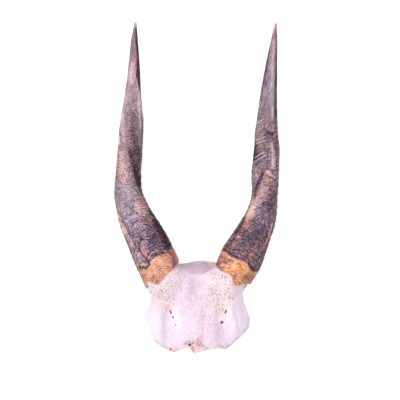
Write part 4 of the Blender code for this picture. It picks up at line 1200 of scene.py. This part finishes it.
hornFinish = {
    # changes in a mm across, around and along, and contrast, which is 0 for cells
    "grains": {
        "dashes": ((0.26, 0.26, 1.2), 5.0), "fibres": ((1.1, 1.1, 0.17), 4.6),
        "mottle": ((0.12, 0.12, 0.09), 3.4), "specks": ((0.9, 0.9, 0.8), 5.0),
        "scratch": ((0.28, 0.28, 0.95), 6.0), "cells": ((0.34, 0.34, 0.85), 0.0),
        "crackle": ((0.34, 0.34, 0.5), 0.0),
    },
    # weights of the grains low on the horn, high on it and in its orange base
    "lowGrain": {"crestShare": 0.46, "dashes": 0.46, "fibres": 0.26, "specks": 0.3, "cells": 0.2},
    "highGrain": {"crestShare": 0.3, "dashes": 0.26, "fibres": 0.5, "specks": 0.14, "mottle": 0.1},
    "baseGrain": {"scratch": 0.34, "specks": 0.14, "crackle": 0.2},
    # weights of the grains in the bump
    "heights": {"dashes": 0.5, "fibres": 0.3, "specks": 0.4},
    "scratchHeight": 0.4,
    "warmFlecks": 0.6,
    "fleckRange": (0.42, 0.8),
    "driedRange": (0.35, 0.75),
    "upperFrom": (0.55, 0.75),
    # colours from dark to light
    "coolRamp": [
        (0.0, (44, 29, 46)), (0.25, (86, 65, 84)), (0.5, (140, 113, 125)), (0.75, (192, 165, 175)),
        (1.0, (234, 216, 230)),
    ],
    "lavenderRamp": [
        (0.0, (44, 34, 54)), (0.25, (84, 72, 96)), (0.5, (138, 122, 146)), (0.75, (190, 174, 198)),
        (1.0, (234, 222, 244)),
    ],
    "greyRamp": [
        (0.0, (40, 32, 34)), (0.25, (84, 71, 75)), (0.5, (138, 122, 127)), (0.75, (190, 175, 179)),
        (1.0, (232, 220, 224)),
    ],
    "warmRamp": [
        (0.0, (62, 32, 36)), (0.25, (126, 80, 76)), (0.5, (188, 134, 122)), (0.75, (228, 174, 157)),
        (1.0, (248, 212, 200)),
    ],
    "mauveRamp": [(0.0, (64, 34, 46)), (0.5, (142, 92, 94)), (1.0, (226, 174, 158))],
    "shade": srgb(46, 26, 38),
    # colour of the pale lines and of the painted highlight lines
    "pale": srgb(222, 206, 222),
    "baseLines": 0.26,
    "roughness": 0.42,
    "specular": 0.18,
    "bumpStrength": 0.8,
}


def ramp(tree, share, stops):
    item = newNode(tree, "ValToRGB", {"Fac": share})
    band = item.color_ramp
    for index, (place, colour) in enumerate(stops):
        stop = band.elements[index] if index < 2 else band.elements.new(place)
        stop.position = place
        stop.color = srgb(*colour)
    return item.outputs["Color"]


# sum of values, each weighted and counted from its middle
def blended(tree, start, *parts):
    total = start
    for value, weight in parts:
        total = newNode(tree, "Math", {0: calc(tree, "SUBTRACT", value, 0.5), 1: weight, 2: total},
                        operation="MULTIPLY_ADD").outputs[0]
    return total


# a value that changes along the horn
def valueAlong(tree, along, rows):
    greys = ramp(tree, along, [(place, (255 * value,) * 3) for place, value in rows])
    return calc(tree, "POWER", greys, 1 / 2.2)


def finishMaterial(tree, shader, colour, rough, height, finish):
    bump = newNode(tree, "Bump", {"Height": height, "Strength": finish["bumpStrength"], "Distance": 0.5 * mm})
    tree.links.new(colour, shader.inputs["Base Color"])
    tree.links.new(rough, shader.inputs["Roughness"])
    tree.links.new(bump.outputs["Normal"], shader.inputs["Normal"])
    shader.inputs["Specular IOR Level"].default_value = finish["specular"]


def hornMaterial(name, finish, group):
    material, tree, shader = blankMaterial(name)
    shift = (finish["seedShift"], finish["seedShift"], 0.0)
    skin = newNode(tree, "VectorMath", {0: attribute(tree, "skin", "Vector"), 1: shift},
                   operation="ADD").outputs[0]
    masks = {key: attribute(tree, key) for key in (
        "alongShare", "crestShare", "toneShift", "orangeBase", "baseLine", "smoothMarks", "mauveMarks")}
    drawn = {key: grain(tree, group, skin, *values) for key, values in finish["grains"].items()}
    for key, outputs in drawn.items():
        masks[key] = outputs["Cells" if finish["grains"][key][1] == 0 else "Mask"]

    def weighted(start, weights):
        return blended(tree, start, *[(masks[key], weight) for key, weight in weights.items()])

    # how light each place is: the zone, the marks with their painted highlights and shade, then rings, dashes
    # and specks low on the horn and long fibres on the smoother upper part
    tone = calc(tree, "ADD", valueAlong(tree, masks["alongShare"], finish["lightness"]), masks["toneShift"])
    fainter = calc(tree, "SUBTRACT", 1.0, calc(tree, "MULTIPLY", masks["smoothMarks"], 0.5))
    strong = calc(tree, "MULTIPLY", valueAlong(tree, masks["alongShare"], finish["contrast"]), fainter)
    upper = spread(tree, masks["alongShare"], *finish["upperFrom"])
    fine = newNode(tree, "Mix", {"Factor": upper, 2: weighted(-0.04, finish["lowGrain"]),
                                 3: weighted(0.0, finish["highGrain"])}).outputs[0]
    tone = calc(tree, "ADD", tone, calc(tree, "MULTIPLY", fine, strong))
    colour = ramp(tree, tone, finish["coolRamp"])
    for key, stops in (("lavenderMarks", "lavenderRamp"), ("greyMarks", "greyRamp")):
        colour = mixColour(tree, attribute(tree, key), colour, ramp(tree, tone, finish[stops]))
    flecks = spread(tree, calc(tree, "MULTIPLY", masks["specks"], masks["fibres"]), *finish["fleckRange"])
    flecks = calc(tree, "MULTIPLY", flecks, calc(tree, "SUBTRACT", 1.0, masks["smoothMarks"]))
    warmth = calc(tree, "MULTIPLY", attribute(tree, "warmMarks"), weighted(0.95, {"specks": 0.5}))
    warmth = calc(tree, "ADD", warmth, calc(tree, "MULTIPLY", flecks, finish["warmFlecks"]))
    colour = mixColour(tree, warmth, colour, ramp(tree, calc(tree, "ADD", tone, 0.12), finish["warmRamp"]))
    # pale lines and painted highlight lines
    colour = mixColour(tree, calc(tree, "MULTIPLY", attribute(tree, "paleLine"), 0.8), colour, finish["pale"])

    # the soft orange base, with fine scratches and dark dried patches
    weights = {"mottle": finish["baseMottle"], **finish["baseGrain"], "baseLine": -finish["baseLines"]}
    baseTone = calc(tree, "ADD", weighted(0.46, weights), masks["toneShift"])
    dried = blended(tree, masks["mauveMarks"], (masks["scratch"], 0.8), (masks["specks"], 0.9))
    dried = calc(tree, "ADD", dried, calc(tree, "MULTIPLY", masks["baseLine"], 0.4))
    dried = spread(tree, dried, *finish["driedRange"])
    base = mixColour(tree, dried, ramp(tree, baseTone, finish["baseRamp"]),
                     ramp(tree, baseTone, finish["mauveRamp"]))
    colour = mixColour(tree, masks["orangeBase"], colour, base)
    brink = calc(tree, "MULTIPLY", attribute(tree, "brinkShare"), weighted(0.6, {"specks": 0.9}))
    colour = mixColour(tree, brink, colour, finish["shade"])
    colour = mixColour(tree, attribute(tree, "tipShare"), colour, finish["tip"])
    cracked = calc(tree, "MULTIPLY", attribute(tree, "crackMark"), 0.85)
    colour = mixColour(tree, cracked, colour, finish["shade"])

    heights = [(drawn[key]["Height"], weight) for key, weight in finish["heights"].items()]
    height = blended(tree, 0.0, *heights)
    onBase = calc(tree, "MULTIPLY", drawn["scratch"]["Height"], masks["orangeBase"])
    height = calc(tree, "ADD", height, calc(tree, "MULTIPLY", onBase, finish["scratchHeight"]))
    finishMaterial(tree, shader, colour, weighted(finish["roughness"], {"dashes": 0.14}), height, finish)
    return material


boneFinish = {
    "bone": srgb(240, 224, 244),
    "boneWarm": srgb(240, 221, 239),
    # colour of the painted highlights and glints
    "bright": srgb(253, 247, 253),
    "cream": srgb(248, 226, 216),
    "shade": srgb(196, 170, 194),
    "stain": srgb(224, 184, 160),
    # hollows of the lace, pinkish tan and painted shade; pits painted with shade, and with the stain colour
    # where stained; deep pits painted with darker shade
    "lace": srgb(202, 154, 154),
    "pit": srgb(208, 168, 176),
    "stainedPit": srgb(212, 160, 126),
    "deepPit": srgb(168, 122, 118),
    "blush": srgb(222, 172, 170),
    "crumb": srgb(216, 160, 142),
    # painted shade in the crevices of the broken edge
    "creviceShade": srgb(124, 76, 52),
    "sutureLine": srgb(164, 104, 84),
    # painted shade inside the holes and chips
    "hole": srgb(128, 80, 56),
    "sponge": srgb(206, 176, 158),
    # painted shade on the steep rear slope, warmer on the right
    "grey": srgb(228, 202, 218),
    "greyWarm": srgb(198, 162, 164),
    # the pale rear rims, partly painted highlight
    "rearRimAndHighlight": srgb(240, 220, 220),
    "inside": srgb(224, 206, 204),
    "edge": srgb(196, 146, 140),
    "roughness": 0.62,
    "specular": 0.35,
    "bumpStrength": 0.9,
    # changes in a mm along x, y and z, and contrast
    "grains": {
        "streaks": ((0.9, 0.16, 0.9), 4.6), "pores": ((1.2, 0.52, 1.0), 6.5),
        "clouds": ((0.07, 0.07, 0.07), 3.0), "rearLines": ((0.1, 1.3, 1.0), 4.5),
    },
    # layers on the bone: mask, colour, amount, and the grain that it follows. The groove, deep pit, crevice,
    # hole and rear slope layers are painted shade, the pit layer is painted shade and stain, the bright layer
    # is painted light, and the rear rim layer is partly painted highlight
    "layers": [
        ("grooveShadeShare", "shade", 0.5), ("paintedLightShare", "bright", 0.8),
        ("stainShare", "stain", 0.32, ("pores", -0.6)), ("pitShadeAndStainShare", "pit", 0.76),
        ("deepPitShadeShare", "deepPit", 0.8), ("blushShare", "blush", 0.75),
        ("crumbShare", "crumb", 0.5, ("pores", -1.3)), ("sutureShare", "sutureLine", 0.85),
        ("creviceShade", "creviceShade", 1.0), ("edgeShare", "edge", 0.6, ("pores", -0.6)),
        ("rearShadeShare", "grey", 0.72, ("rearLines", -1.9)), ("rearRimAndHighlight", "rearRimAndHighlight", 1.0),
        ("hollowShare", "inside", 0.6), ("sawnShare", "sponge", 0.5), ("spongeShare", "stainedPit", 0.8),
        ("holeShadeShare", "hole", 1.0),
    ],
}


def boneMaterial(name, finish, group):
    material, tree, shader = blankMaterial(name)
    skin = attribute(tree, "skin", "Vector")
    drawn = {key: grain(tree, group, skin, *values) for key, values in finish["grains"].items()}
    pores = drawn["pores"]["Mask"]
    porous = attribute(tree, "porousShare")
    colour = mixColour(tree, drawn["clouds"]["Mask"], finish["bone"], finish["boneWarm"])
    colour = mixColour(tree, calc(tree, "MULTIPLY", porous, 0.5), colour, finish["cream"])
    faint = calc(tree, "MULTIPLY", calc(tree, "SUBTRACT", 1.0, drawn["streaks"]["Mask"]), 0.46)
    colour = mixColour(tree, faint, colour, finish["shade"])

    # white lace of bone around small hollows; the hollows are pinkish tan and painted with shade, the ridges
    # get painted glints
    lace = calc(tree, "MULTIPLY", calc(tree, "SUBTRACT", 1.0, pores), porous)
    colour = mixColour(tree, lace, colour, finish["lace"])
    glints = calc(tree, "MULTIPLY", calc(tree, "POWER", pores, 2.0), calc(tree, "MULTIPLY", porous, 0.85))
    colour = mixColour(tree, glints, colour, finish["bright"])
    mixed = {"pit": mixColour(tree, attribute(tree, "stainShare"), finish["pit"], finish["stainedPit"]),
             "grey": mixColour(tree, attribute(tree, "rearShadeWarm"), finish["grey"], finish["greyWarm"])}
    for mask, tint, amount, *follows in finish["layers"]:
        amount = blended(tree, amount, *[(drawn[key]["Mask"], weight) for key, weight in follows])
        share = calc(tree, "MULTIPLY", attribute(tree, mask), amount)
        colour = mixColour(tree, share, colour, mixed.get(tint, finish[tint]))
    height = blended(tree, 0.0, (drawn["streaks"]["Height"], 0.5), (drawn["pores"]["Height"], 0.5))
    finishMaterial(tree, shader, colour, blended(tree, finish["roughness"], (pores, 0.15)), height, finish)
    return material


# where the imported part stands: its left tip is the drawing's left tip
tipMiddle, _, _, tipUp, _, _ = hornAt(leftHorn, hornRows(leftHorn)[-1, 0])
packedTip = max((vert.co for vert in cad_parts["horn_left"].data.vertices), key=lambda co: co.y)
move = np.array(packedTip) / mm - (tipMiddle + tipUp)
print("drawing moved by", [round(float(v), 3) for v in move], "mm")

grainGroup = makeGrainGroup()
horns = (leftHorn, rightHorn)
for horn in horns:
    sheath = makeHorn(horn, move)
    finish = dict(hornFinish, **horn["finish"])
    sheath.data.materials.append(hornMaterial(horn["node"] + "_keratin", finish, grainGroup))
    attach(sheath, "root")
    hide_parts(horn["node"])
    print(horn["name"], "made,", len(sheath.data.polygons), "faces")

bone = makeBone("bone_plate", move, horns)
bone.data.materials.append(boneMaterial("bleached_bone", boneFinish, grainGroup))
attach(bone, "root")
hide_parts("skull_plate")
print("bone made,", len(bone.data.polygons), "faces")

studio = {
    "floorColour": (0.4, 0.4, 0.4),
    "floorGlow": 0.8,
    "floorBounce": 0.15,
    "floorSize": 4.0,
    "worldStrength": 0.78,
    "keyPower": 32.0,
    "keySize": 1.7,
    "keyPlace": (-1.1, 0.8, 1.9),
    "cameraHeight": 3.5,
    "frameWidth": 0.4,
    "frameCentre": (2.5, 152.0),
    "sensor": 36.0,
    "subjectHeight": 0.035,
}


def makeStudio(move):
    half = studio["floorSize"] / 2
    mesh = bpy.data.meshes.new("studio_floor")
    corners = [(-half, -half, 0), (half, -half, 0), (half, half, 0), (-half, half, 0)]
    mesh.from_pydata(corners, [], [(0, 1, 2, 3)])
    floor = bpy.data.objects.new("studio_floor", mesh)
    bpy.context.scene.collection.objects.link(floor)
    material, tree, shader = blankMaterial("pale_floor")
    shader.inputs["Base Color"].default_value = (*studio["floorColour"], 1)
    shader.inputs["Roughness"].default_value = 0.9
    shader.inputs["Emission Color"].default_value = (1, 1, 1, 1)
    seen = newNode(tree, "LightPath").outputs["Is Camera Ray"]
    glow = calc(tree, "ADD", calc(tree, "MULTIPLY", seen, studio["floorGlow"] - studio["floorBounce"]),
                studio["floorBounce"])
    tree.links.new(glow, shader.inputs["Emission Strength"])
    shader.inputs["Specular IOR Level"].default_value = 0.0
    mesh.materials.append(material)

    world = bpy.data.worlds.new("studio_light")
    bpy.context.scene.world = world
    world.use_nodes = True
    background = world.node_tree.nodes["Background"]
    background.inputs["Color"].default_value = (1, 1, 1, 1)
    background.inputs["Strength"].default_value = studio["worldStrength"]
    lamp = bpy.data.lights.new("key_light", "AREA")
    lamp.energy = studio["keyPower"]
    lamp.size = studio["keySize"]
    key = bpy.data.objects.new("key_light", lamp)
    bpy.context.scene.collection.objects.link(key)
    key.location = studio["keyPlace"]
    key.rotation_euler = (-Vector(studio["keyPlace"])).to_track_quat("-Z", "Y").to_euler()

    camera = bpy.data.objects.new("camera", bpy.data.cameras.new("camera"))
    bpy.context.scene.collection.objects.link(camera)
    centre = (np.array(studio["frameCentre"]) + move[:2]) * mm
    camera.location = (centre[0], centre[1], studio["cameraHeight"])
    camera.data.sensor_width = studio["sensor"]
    distance = studio["cameraHeight"] - studio["subjectHeight"]
    camera.data.lens = studio["sensor"] * distance / studio["frameWidth"]
    camera.data.clip_end = 20
    bpy.context.scene.camera = camera
    bpy.context.scene.view_settings.view_transform = "Standard"


makeStudio(move)
print("studio ready")
